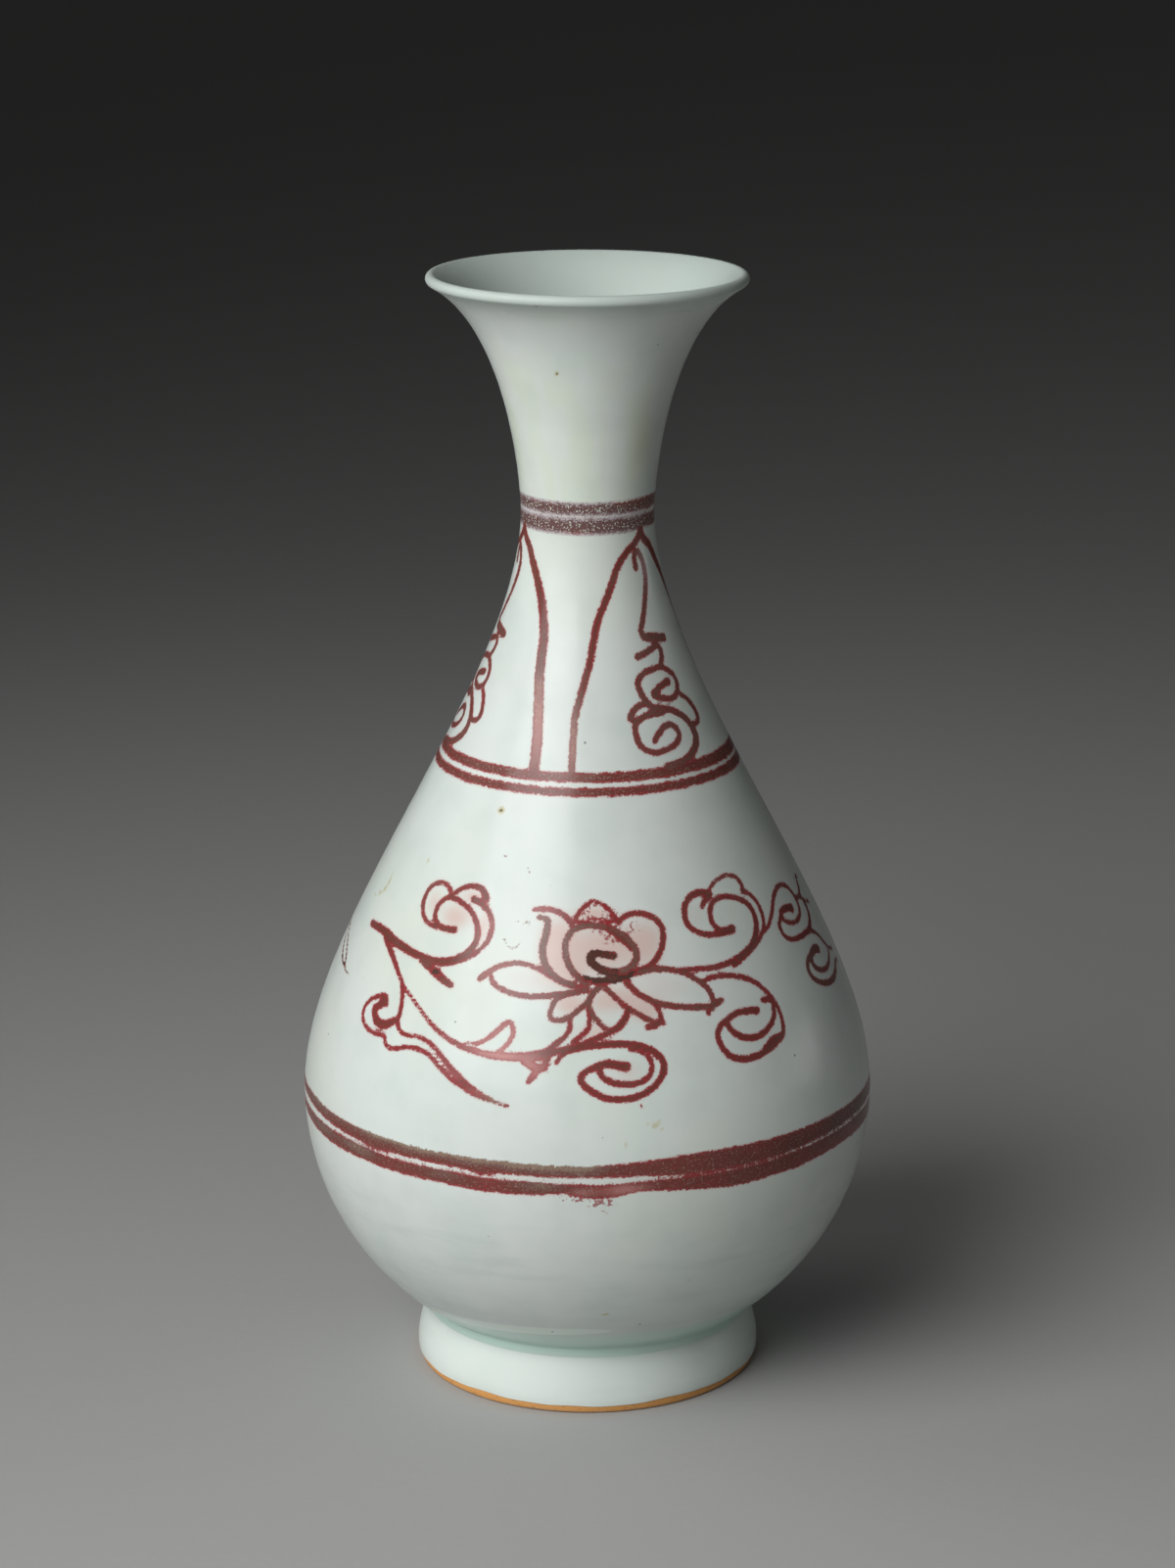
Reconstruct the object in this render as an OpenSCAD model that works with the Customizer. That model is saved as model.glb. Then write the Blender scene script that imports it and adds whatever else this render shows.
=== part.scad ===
// Pear-shaped porcelain bottle vase with a flared mouth. It is thrown in four sections that
// are luted together with slip, then glazed inside and out down to a bare foot rim.
// The axis of the vase is Z and the foot stands on z = 0. All lengths are in millimetres.

/* [Foot] */
// Outer diameter of the flat ring that the vase stands on
foot_rim_d = 82; // [76:0.5:84]
// Width of that flat ring
foot_rim_w = 7; // [5:0.5:9]
// Widest diameter of the foot wall
foot_d = 84.5; // [82:0.5:92]
// Height of the widest part of the foot wall
foot_edge_h = 3.5; // [3:0.5:6]
// Height of the foot, up to its joint with the body
foot_h = 16; // [12:0.5:20]
// Angle from the vertical at which the foot wall meets the body
foot_angle = 15; // [5:1:25]
// Diameter of the recess under the vase where it meets the base
recess_top_d = 62; // [54:0.5:65]
// Width of the flat face that joins the foot to the body
joint_w = 8.5; // [6:0.5:10]
// Rounding of the rim's inner edge
rim_round = 1.2; // [0.5:0.1:2]

/* [Body] */
// Widest diameter, at the belly
belly_d = 139; // [120:1:160]
// Rise from the foot joint to the belly
belly_rise = 54.5; // [48:0.5:68]
// Angle from the vertical at which the body springs from the foot
spring_angle = 68; // [55:1:75]
// Length of the stretch that holds that angle
spring_arm = 7.5; // [4:0.5:12]
// How far the belly's fullness reaches down
belly_lower_arm = 32.5; // [26:0.5:40]
// How far the belly's fullness reaches up
belly_upper_arm = 39; // [30:0.5:50]
// Rise from the belly to the narrowest part of the neck
shoulder_rise = 143; // [120:1:165]
// How far the neck's slenderness reaches down
neck_lower_arm = 41; // [30:0.5:50]
// Narrowest diameter of the neck
neck_d = 31.8; // [27:0.1:38]

/* [Mouth] */
// Rise from the narrowest part of the neck to the lip
mouth_rise = 56.5; // [48:0.5:70]
// Outer diameter of the lip
mouth_d = 76; // [66:0.5:86]
// Thickness of the rounded lip
lip_t = 2.6; // [2:0.1:3.4]
// Angle of the flared lip from the vertical
lip_angle = 61; // [50:1:68]
// How far the neck's slenderness reaches up
neck_upper_arm = 7; // [4:0.5:12]
// Length of the stretch that holds the lip's angle
lip_arm = 21; // [14:0.5:26]

/* [Clay] */
// Clay wall at the neck
neck_wall = 2.8; // [2.2:0.1:4]
// Clay wall at the belly
belly_wall = 4; // [3:0.1:6]
// Clay of the base, over the recess
base_t = 5; // [4:0.5:9]
// How far out from the axis the inside floor stays flat
floor_arm = 45; // [34:0.5:47]

/* [Luting] */
// Thickness of the slip between two sections
slip_t = 0.6; // [0.4:0.1:1]
// Height of the ridge of slip squeezed out inside a seam
ridge_h = 1; // [0.5:0.1:1.5]
// Width of that ridge along the wall
ridge_w = 6; // [4:0.5:8]

/* [Glaze] */
// Thickness of the glaze
glaze_t = 0.4; // [0.3:0.05:0.6]
// Height of the bare edge left below the glaze
bare_h = 2; // [1:0.25:2.5]
// Reach of the pooled glaze below and above the foot joint
pool_h = 2.4; // [1.6:0.2:4]
// Roundness of that pooled glaze
pool_arm = 2.8; // [1:0.2:4]
// Rounding of the glaze in the corner of the recess
recess_round = 3; // [1.5:0.5:5]

/* [Hidden] */
$fn = 96;

// Heights, stacked from the foot up
belly_z = foot_h + belly_rise;
neck_z = belly_z + shoulder_rise;
top_z = neck_z + mouth_rise;

// Lower and upper face of the slip at each seam
foot_seam = [foot_h - slip_t / 2, foot_h + slip_t / 2];
belly_seam = [belly_z - slip_t / 2, belly_z + slip_t / 2];
neck_seam = [neck_z - slip_t / 2, neck_z + slip_t / 2];

// Steps along each stretch of the outline
edge_steps = 8;
foot_steps = 10;
body_steps = 26;
shoulder_steps = 34;
mouth_steps = 26;
lip_steps = 12;
pool_steps = 8;
ridge_steps = 10;

clay_colour = [0.86, 0.80, 0.71];
slip_colour = [0.78, 0.70, 0.60];
glaze_colour = [0.80, 0.86, 0.85];

function bezier(p, steps) = [
    for (i = [0:steps])
        let (t = i / steps, s = 1 - t)
        s * s * s * p[0] + 3 * s * s * t * p[1] + 3 * s * t * t * p[2] + t * t * t * p[3]
];
function tail(path) = [for (i = [1:len(path) - 1]) path[i]];
function reversed(path) = [for (i = [len(path) - 1:-1:0]) path[i]];
function last(path) = path[len(path) - 1];

// Unit direction of a path at one of its points
function heading(path, i) =
    let (step = path[min(i + 1, len(path) - 1)] - path[max(i - 1, 0)])
    step / norm(step);

// Rising path moved square to itself towards the axis, by one depth for each of its points
function inset(path, depths) = [
    for (i = [0:len(path) - 1])
        let (along = heading(path, i), moved = path[i] - depths[i] * [along[1], -along[0]])
        [max(moved[0], 0), moved[1]]
];
function even(path, depth) = [for (p = path) depth];

// Radius of a rising path at a height, and the stretch of it between two heights
function radius_at(path, z) = lookup(z, [for (p = path) [p[1], p[0]]]);
function stretch(path, low, high) = concat(
    [[radius_at(path, low), low]],
    [for (p = path) if (p[1] > low && p[1] < high) p],
    [[radius_at(path, high), high]]
);

// Outside of the glaze on the foot: a rounded edge, then a wall that leans in to the joint
foot_arm = (foot_h - foot_edge_h) / 3;
foot_top_r = recess_top_d / 2 + joint_w;
foot_path = concat(
    [
        for (i = [0:edge_steps])
            let (a = 90 * i / edge_steps)
            [
                foot_rim_d / 2 + (foot_d - foot_rim_d) / 2 * sin(a),
                foot_edge_h * (1 - cos(a))
            ]
    ],
    tail(bezier([
        [foot_d / 2, foot_edge_h],
        [foot_d / 2, foot_edge_h + foot_arm],
        [foot_top_r + foot_arm * tan(foot_angle), foot_h - foot_arm],
        [foot_top_r, foot_h]
    ], foot_steps))
);

// Outside of the glaze on the body, neck and mouth, up to the start of the lip's rounding
lip_along = [sin(lip_angle), cos(lip_angle)];
lip_out = [cos(lip_angle), -sin(lip_angle)];
lip_centre = [mouth_d / 2 - lip_t / 2, top_z - lip_t / 2];
lip_start = lip_centre + lip_out * lip_t / 2;
spring_start = [foot_top_r, foot_h];
lower_path = bezier([
    spring_start,
    spring_start + spring_arm * [sin(spring_angle), cos(spring_angle)],
    [belly_d / 2, belly_z - belly_lower_arm],
    [belly_d / 2, belly_z]
], body_steps);
upper_path = concat(
    bezier([
        [belly_d / 2, belly_z],
        [belly_d / 2, belly_z + belly_upper_arm],
        [neck_d / 2, neck_z - neck_lower_arm],
        [neck_d / 2, neck_z]
    ], shoulder_steps),
    tail(bezier([
        [neck_d / 2, neck_z],
        [neck_d / 2, neck_z + neck_upper_arm],
        lip_start - lip_arm * lip_along,
        lip_start
    ], mouth_steps))
);
body_path = concat(lower_path, tail(upper_path));

// Outside of the clay, under the glaze, which thins out to nothing at the foot rim
foot_clay = inset(foot_path, [for (p = foot_path) lookup(p[1], [[0, 0], [foot_edge_h, glaze_t]])]);
body_clay = inset(body_path, even(body_path, glaze_t));

// Inside of the clay: a bowl over the base, then a wall that thins towards the lip
lip_clay = lip_t - 2 * glaze_t;
clay_wall = [[belly_z, belly_wall], [neck_z, neck_wall], [lip_start[1], lip_clay]];
bowl_r = belly_d / 2 - glaze_t - belly_wall;
floor_z = foot_seam[1] + base_t;
inner_clay = concat(
    bezier([
        [0, floor_z],
        [floor_arm, floor_z],
        [bowl_r, belly_z - belly_lower_arm],
        [bowl_r, belly_z]
    ], body_steps),
    tail(inset(upper_path, [for (p = upper_path) glaze_t + lookup(p[1], clay_wall)]))
);
inner_top_z = last(inner_clay)[1];

// Ridge of slip inside a seam, between its lower and upper edge
function ridge(z) = [
    for (i = [1:ridge_steps - 1])
        let (level = z + ridge_w * (i / ridge_steps - 0.5))
        [radius_at(inner_clay, level) - ridge_h * sin(180 * i / ridge_steps), level]
];
ridged_clay = concat(
    stretch(inner_clay, floor_z, belly_z - ridge_w / 2),
    ridge(belly_z),
    stretch(inner_clay, belly_z + ridge_w / 2, neck_z - ridge_w / 2),
    ridge(neck_z),
    stretch(inner_clay, neck_z + ridge_w / 2, inner_top_z)
);

// Rounded end of the lip, from the outside over the top to the inside
function lip_arc(r) = [
    for (i = [1:lip_steps - 1])
        let (a = 180 * i / lip_steps)
        lip_centre + r * (cos(a) * lip_out + sin(a) * lip_along)
];

// Outside of the glaze round the foot joint, where it has run down and pooled
glazed_foot = stretch(foot_path, bare_h, foot_h - pool_h);
glazed_body = [for (p = body_path) if (p[1] > foot_h + pool_h) p];
pool_path = bezier([
    last(glazed_foot),
    last(glazed_foot) + pool_arm * heading(glazed_foot, len(glazed_foot) - 1),
    glazed_body[0] - pool_arm * heading(glazed_body, 0),
    glazed_body[0]
], pool_steps);

// Wall of the recess under the base, from the rim up to the seam, and the glaze on it
rim_in = foot_rim_d / 2 - foot_rim_w;
recess_wall = concat(
    [
        for (i = [0:edge_steps])
            let (a = 90 * i / edge_steps)
            [rim_in - rim_round * sin(a), rim_round * (1 - cos(a))]
    ],
    [[recess_top_d / 2, foot_seam[0]]]
);
recess_glaze = inset(recess_wall, even(recess_wall, glaze_t));
ceiling_z = foot_seam[1] - glaze_t;
recess_corner = [
    radius_at(recess_glaze, ceiling_z - recess_round) - recess_round,
    ceiling_z - recess_round
];

module turned(profile) {
    rotate_extrude() polygon(profile);
}

// Thrown and trimmed ring that the vase stands on
module foot_ring() {
    color(clay_colour) turned(concat(
        stretch(foot_clay, 0, foot_seam[0]),
        reversed(recess_wall)
    ));
}

// Flat joint between the foot ring and the underside of the body
module foot_luting() {
    color(slip_colour) turned([
        [recess_top_d / 2, foot_seam[0]],
        [radius_at(foot_clay, foot_seam[0]), foot_seam[0]],
        [radius_at(body_clay, foot_seam[1]), foot_seam[1]],
        [recess_top_d / 2, foot_seam[1]]
    ]);
}

// Bowl from the base up to the belly
module lower_body() {
    color(clay_colour) turned(concat(
        [[0, foot_seam[1]]],
        stretch(body_clay, foot_seam[1], belly_seam[0]),
        reversed(stretch(inner_clay, floor_z, belly_seam[0]))
    ));
}

// Joint between two sections, with the ridge that was squeezed out inside
module luting(z, seam) {
    color(slip_colour) turned(concat(
        stretch(body_clay, seam[0], seam[1]),
        stretch(inner_clay, seam[1], z + ridge_w / 2),
        reversed(ridge(z)),
        stretch(inner_clay, z - ridge_w / 2, seam[0])
    ));
}

module belly_luting() {
    luting(belly_z, belly_seam);
}

// Shoulder from the belly up to the narrowest part of the neck
module upper_body() {
    color(clay_colour) turned(concat(
        stretch(body_clay, belly_seam[1], neck_seam[0]),
        reversed(stretch(inner_clay, belly_seam[1], neck_seam[0]))
    ));
}

module neck_luting() {
    luting(neck_z, neck_seam);
}

// Flared mouth with its rounded lip
module neck_and_mouth() {
    color(clay_colour) turned(concat(
        stretch(body_clay, neck_seam[1], last(body_clay)[1]),
        lip_arc(lip_clay / 2),
        reversed(stretch(inner_clay, neck_seam[1], inner_top_z))
    ));
}

// One coat of glaze, from the foot up over the lip and down the inside to the floor
module glaze_coat() {
    color(glaze_colour) turned(concat(
        glazed_foot,
        tail(pool_path),
        tail(glazed_body),
        lip_arc(lip_t / 2),
        reversed(inset(ridged_clay, even(ridged_clay, glaze_t))),
        ridged_clay,
        reversed(lip_arc(lip_clay / 2)),
        reversed(stretch(body_clay, foot_seam[1], last(body_clay)[1])),
        reversed(stretch(foot_clay, bare_h, foot_seam[0]))
    ));
}

// Glaze under the base and down the wall of the recess
module base_glaze() {
    color(glaze_colour) turned(concat(
        [[0, foot_seam[1]], [0, ceiling_z]],
        [
            for (i = [0:edge_steps])
                let (a = 90 - 90 * i / edge_steps)
                recess_corner + recess_round * [cos(a), sin(a)]
        ],
        reversed(stretch(recess_glaze, bare_h, ceiling_z - recess_round)),
        stretch(recess_wall, bare_h, foot_seam[0]),
        [[recess_top_d / 2, foot_seam[1]]]
    ));
}

foot_ring();
foot_luting();
lower_body();
belly_luting();
upper_body();
neck_luting();
neck_and_mouth();
glaze_coat();
base_glaze();
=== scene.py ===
"""Dresses a pear-shaped porcelain bottle vase: its painted glaze, bare foot rim, studio and camera."""

import math
from collections import namedtuple

import bmesh
import bpy
import numpy as np
from bpy.props import FloatProperty, FloatVectorProperty, PointerProperty
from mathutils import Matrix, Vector


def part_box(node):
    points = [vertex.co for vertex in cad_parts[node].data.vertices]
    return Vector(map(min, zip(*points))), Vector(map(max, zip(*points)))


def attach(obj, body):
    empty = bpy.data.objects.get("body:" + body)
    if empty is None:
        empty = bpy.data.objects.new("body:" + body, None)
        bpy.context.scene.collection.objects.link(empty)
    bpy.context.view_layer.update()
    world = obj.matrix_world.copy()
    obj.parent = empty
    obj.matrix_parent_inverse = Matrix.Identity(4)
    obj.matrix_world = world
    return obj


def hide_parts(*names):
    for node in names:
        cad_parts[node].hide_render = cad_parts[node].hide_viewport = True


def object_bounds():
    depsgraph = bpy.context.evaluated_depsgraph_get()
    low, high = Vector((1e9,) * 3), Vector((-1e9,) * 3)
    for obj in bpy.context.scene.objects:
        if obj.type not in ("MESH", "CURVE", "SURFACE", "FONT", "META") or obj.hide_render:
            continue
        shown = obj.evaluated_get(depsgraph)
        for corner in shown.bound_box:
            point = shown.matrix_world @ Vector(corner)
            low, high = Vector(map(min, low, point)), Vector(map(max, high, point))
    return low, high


bl_info = {
    "name": "Bottle vase",
    "version": (1, 0, 0),
    "blender": (4, 5, 0),
    "location": "3D View > Sidebar > Vase",
    "description": "Glazes and paints a pear-shaped porcelain bottle vase and sets up its studio",
    "category": "Object",
}

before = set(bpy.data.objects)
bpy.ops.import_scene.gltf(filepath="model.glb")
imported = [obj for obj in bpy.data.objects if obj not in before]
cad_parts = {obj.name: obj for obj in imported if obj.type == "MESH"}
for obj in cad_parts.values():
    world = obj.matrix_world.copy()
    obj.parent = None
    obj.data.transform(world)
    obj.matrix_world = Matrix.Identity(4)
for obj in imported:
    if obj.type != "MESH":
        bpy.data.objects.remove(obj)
cad_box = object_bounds()

MM = 0.001


def rgb(red, green, blue):
    """Linear colour of display values from 0 to 255."""
    shares = (red / 255, green / 255, blue / 255)
    return tuple(s / 12.92 if s <= 0.04045 else ((s + 0.055) / 1.055) ** 2.4 for s in shares)


def length(name, description, default):
    """A size in metres that the user can change."""
    return FloatProperty(name=name, description=description, default=default, unit="LENGTH", precision=5)


def colour(name, description, default):
    """A colour that the user can change."""
    return FloatVectorProperty(name=name, description=description, default=default,
                               subtype="COLOR", size=3, min=0.0, max=1.0)


def fraction(name, description, default):
    """A number from 0 to 1 that the user can change."""
    return FloatProperty(name=name, description=description, default=default,
                         subtype="FACTOR", min=0.0, max=1.0)


def power(name, description, default):
    """The power of a light in watts, which the user can change."""
    return FloatProperty(name=name, description=description, default=default, subtype="POWER")


def angle(name, description, degrees):
    """An angle that the user can change."""
    return FloatProperty(name=name, description=description, default=math.radians(degrees), subtype="ANGLE")


def seam_height(node):
    """Middle height of one of the slip seams."""
    low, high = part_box(node)
    return (low.z + high.z) / 2


# Thickness of the glaze and of the clay under the inside floor
GLAZE_T = 0.4 * MM
BASE_T = 5 * MM


class VaseOutline(bpy.types.PropertyGroup):
    """Sizes of the glazed outline, outside and inside."""

    glaze_t: length("Glaze", "Thickness of the glaze", GLAZE_T)
    bare_h: length("Bare edge", "Height of the bare edge below the glaze",
                   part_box("glaze_coat")[0].z + GLAZE_T / 2)
    rim_r: length("Rim radius", "Outer radius of the ring that the vase stands on", 41 * MM)
    foot_r: length("Foot radius", "Widest radius of the foot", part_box("foot_ring")[1].x + GLAZE_T)
    foot_edge_h: length("Foot edge", "Height of the widest part of the foot", 3.5 * MM)
    foot_h: length("Foot height", "Height of the joint of foot and body", seam_height("foot_luting"))
    foot_top_r: length("Foot joint radius", "Radius at the joint of foot and body", 39.5 * MM)
    foot_angle: angle("Foot angle", "Angle from the vertical at which the foot meets the body", 15)
    pool_h: length("Pool reach", "Reach of the pooled glaze below and above the foot joint", 2.4 * MM)
    pool_arm: length("Pool roundness", "Roundness of the pooled glaze", 2.8 * MM)
    spring_angle: angle("Spring angle", "Angle from the vertical at which the body leaves the foot", 68)
    spring_arm: length("Spring arm", "Length of the stretch that holds that angle", 7.5 * MM)
    belly_r: length("Belly radius", "Widest radius of the body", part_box("glaze_coat")[1].x)
    belly_z: length("Belly height", "Height of the widest part", seam_height("belly_luting"))
    belly_lower_arm: length("Belly, down", "How far the belly's fullness reaches down", 32.5 * MM)
    belly_upper_arm: length("Belly, up", "How far the belly's fullness reaches up", 39 * MM)
    neck_r: length("Neck radius", "Narrowest radius of the neck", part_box("neck_luting")[1].x + GLAZE_T)
    neck_z: length("Neck height", "Height of the narrowest part", seam_height("neck_luting"))
    neck_lower_arm: length("Neck, down", "How far the neck's slenderness reaches down", 41 * MM)
    neck_upper_arm: length("Neck, up", "How far the neck's slenderness reaches up", 7 * MM)
    mouth_r: length("Mouth radius", "Outer radius of the lip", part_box("neck_and_mouth")[1].x + GLAZE_T)
    top_z: length("Height", "Height of the vase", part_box("glaze_coat")[1].z)
    lip_t: length("Lip", "Thickness of the rounded lip", 2.6 * MM)
    lip_angle: angle("Lip angle", "Angle of the flared lip from the vertical", 61)
    lip_arm: length("Lip arm", "Length of the stretch that holds that angle", 21 * MM)
    belly_wall: length("Belly wall", "Clay wall at the belly", 4 * MM)
    neck_wall: length("Neck wall", "Clay wall at the neck", 2.8 * MM)
    floor_z: length("Floor height", "Height of the inside floor",
                    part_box("lower_body")[0].z + BASE_T + GLAZE_T)
    floor_arm: length("Floor arm", "How far out from the axis the inside floor stays flat", 45 * MM)
    ridge_h: length("Ridge height", "Height of the slip ridge inside a seam", 1 * MM)
    ridge_w: length("Ridge width", "Width of the slip ridge inside a seam", 6 * MM)
    sway: length("Sway", "How far the thrown wall strays from a true circle", 0.12 * MM)
    ring_h: length("Throwing rings", "Height of the throwing rings under the glaze", 0.012 * MM)
    ragged_h: length("Ragged edge", "How unevenly the glaze ends above the foot rim", 0.3 * MM)


class VaseGlaze(bpy.types.PropertyGroup):
    """Colours and gloss of the glaze."""

    cool: colour("Glaze", "Blue-tinged white of the glaze", rgb(205, 211, 207))
    warm: colour("Warm glaze", "Cream patches of the glaze", rgb(202, 210, 196))
    # Painted shade inside the mouth, darker glaze over the lip, and the glaze's darker patches and wheel
    # marks
    inner: colour("Inner glaze", "Greyer glaze inside the mouth and over the lip", rgb(184, 194, 188))
    # Also painted on the belly's underside as the reflection of the pool
    thick: colour("Pooled glaze", "Green of the glaze where it is thick", rgb(182, 209, 198))
    # Pale colour painted over the foot wall, and as the reflection of the foot wall above the pool
    roll: colour("Glaze roll", "Pale roll of glaze above the pool at the foot", rgb(218, 229, 222))
    stain: colour("Stain", "Yellow-brown of kiln stains", rgb(176, 168, 112))
    pit: colour("Pit", "Dark of pin holes", rgb(86, 76, 62))
    roughness: fraction("Roughness", "Roughness of the fired glaze", 0.22)
    gloss: fraction("Gloss", "Strength of the reflections on the glaze", 0.23)


class VasePaint(bpy.types.PropertyGroup):
    """Colours of the copper-red painting."""

    crimson: colour("Crimson", "Granular edge of a brush stroke", rgb(137, 44, 48))
    maroon: colour("Maroon", "Core of a brush stroke", rgb(104, 51, 44))
    umber: colour("Umber", "Stroke that fired grey-brown", rgb(106, 73, 66))
    # Also the grey painted on the lappets' outlines where the glaze's highlight crosses them
    olive: colour("Olive", "Edge of a line that fired olive-grey", rgb(129, 106, 91))
    brown: colour("Brown", "Thick paint at the heart of the flower", rgb(72, 43, 35))
    ash: colour("Ash", "Grey-purple of the lines at the neck", rgb(99, 72, 71))
    lilac: colour("Lilac", "Bleeding beside the lines at the neck", rgb(172, 156, 163))
    # Also mixed into thin paint, and into strokes as the painted pale of the glaze's highlight
    rose: colour("Rose", "Bleeding beside a stroke", rgb(200, 140, 136))
    blush: colour("Blush", "Pale pink inside the petals and curls", rgb(200, 176, 168))


class VaseClay(bpy.types.PropertyGroup):
    """Colours of the clay."""

    pale: colour("Clay", "Fired clay", rgb(219, 209, 192))
    burnt: colour("Burnt clay", "Clay that fired orange at the edge of the glaze", rgb(209, 150, 84))
    # Specks in the clay, and the painted shadow along the lowest edge of the foot rim
    grit_and_shadow: colour("Grit", "Specks in the clay", rgb(112, 84, 60))
    slip: colour("Slip", "Slip in the seams", rgb(202, 188, 166))


class VaseStudio(bpy.types.PropertyGroup):
    """Floor, light and camera."""

    floor: colour("Floor", "Pale paper floor", rgb(165, 165, 164))
    fibre: colour("Floor fibre", "Darker fibres in the paper of the floor", rgb(150, 150, 148))
    floor_size: length("Floor size", "Side of the floor", 14.0)
    key_light: power("Key light", "Power of the soft light at the front left", 0.9)
    key_frame: power("Key frame", "Power of the dimmer frame of cloth round the key light", 7.2)
    right_light: power("Right light", "Power of the light that lifts the right edge", 0.09)
    right_card: power("Right card", "Power of the low card at the right", 1.2)
    left_light: power("Left light", "Power of the light that lifts the left edge", 0.29)
    ambient: fraction("Ambient", "Strength of the light from all round", 0.031)
    camera_back: length("Camera distance", "How far the camera stands in front of the axis", 966.8 * MM)
    camera_up: length("Camera height", "Height of the camera", 413.2 * MM)
    camera_pitch: angle("Camera pitch", "How far the camera looks down", 15.45)
    camera_lens: FloatProperty(name="Lens", description="Focal length, in millimetres on a 36 mm frame",
                               default=95.4, subtype="DISTANCE_CAMERA")


GROUPS = {
    "vase_outline": VaseOutline,
    "vase_glaze": VaseGlaze,
    "vase_paint": VasePaint,
    "vase_clay": VaseClay,
    "vase_studio": VaseStudio,
}

# Brush strokes. Points are degrees round the vase from the front, positive to the right, and
# heights in millimetres. Widths in millimetres are spread evenly along the stroke. Tone sets the
# fired colour: brown below -0.7, crimson at -0.3, maroon at 0.3, umber at 0.8, olive above 1.2.
Stroke = namedtuple("Stroke", "widths tone points")

# Soft spots: degrees, height, reach across and up in millimetres, and strength.
Blot = namedtuple("Blot", "turn height across up strength")

# Painted lines right round the vase: tone, pale specks, and degrees with lower and upper edge.
Ring = namedtuple("Ring", "tone specks edges")

NECK_RINGS = (
    Ring(0.75, 1.0, (
        (-180, 215.4, 218), (-120, 215.5, 218), (-60, 215.4, 218.2), (0, 215.4, 218), (60, 215.3, 218.5),
        (120, 215.4, 218))),
    Ring(0.75, 0.9, (
        (-180, 211, 214.4), (-120, 211.1, 214.4), (-60, 211, 214.3), (0, 210.9, 214.3), (60, 211.1, 214.3),
        (120, 210.9, 214.3))),
)

# Stretches of the neck lines that are free of specks
NECK_CLEAR = (
    Blot(66, 217.2, 7.0, 2.2, -0.75), Blot(30, 218, 4.0, 1.0, -0.4), Blot(75, 212.5, 5.0, 2.5, -0.5),
)

SHOULDER_RINGS = (
    Ring(0.3, 0.2, (
        (-180, 155.9, 158.2), (-120, 156, 158.2), (-60, 155.8, 158.3), (0, 155.8, 158.2), (40, 155.7, 158.4),
        (75, 155.6, 158.8), (120, 155.8, 158.2))),
    Ring(0.3, 0.2, (
        (-180, 152.8, 155), (-120, 152.9, 155), (-60, 152.8, 155), (0, 152.8, 155), (40, 152.8, 155.1),
        (75, 152.7, 155.2), (120, 152.9, 155))),
)

BELLY_RINGS = (
    Ring(0.2, 0.16, (
        (-180, 71, 74.6), (-160, 70.8, 74.4), (-140, 71, 74.2), (-120, 70.6, 74.4), (-100, 71.2, 74.2),
        (-80, 71.8, 74.2), (-70, 71.4, 74.4), (-60, 71, 74), (-50, 70.7, 74), (-46, 70.2, 74),
        (-40, 70.8, 74), (-30, 71, 74), (-24, 70.8, 74), (-20, 70.1, 74), (-17, 71, 74), (-10, 71, 74),
        (0, 71, 73.8), (5, 71, 74.2), (10, 71, 74.6), (15, 70.7, 75), (20, 70.3, 75.4), (30, 70.3, 75.4),
        (40, 70.4, 75.3), (50, 71, 75.2), (60, 71.2, 75.2), (70, 71.2, 75), (80, 71, 75),
        (100, 70.8, 74.6), (120, 71.1, 74.8), (140, 70.6, 74.5), (160, 71, 74.4))),
    Ring(0.2, 0.16, (
        (-180, 66.2, 70), (-160, 66.4, 69.8), (-140, 66, 70), (-120, 66.3, 69.6), (-100, 66.8, 70),
        (-80, 67, 69.8), (-70, 66.5, 69.8), (-60, 66.2, 69.9), (-50, 66.4, 69.9), (-40, 66.3, 69.7),
        (-30, 66.5, 69.9), (-20, 66.1, 69.7), (-10, 66.3, 69.8), (-5, 67, 69.5), (0, 65.9, 69.5),
        (4, 65.9, 69.5), (10, 67.3, 69.8), (15, 67, 70), (20, 66.6, 70.1), (30, 65.6, 70), (40, 66, 70.1),
        (45, 65.8, 70.3), (50, 66.2, 70.5), (60, 66.5, 70.6), (70, 66.2, 70.5), (80, 66, 70),
        (100, 66.4, 69.9), (120, 66, 70.2), (140, 66.5, 69.8), (160, 66.1, 70))),
)

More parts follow.
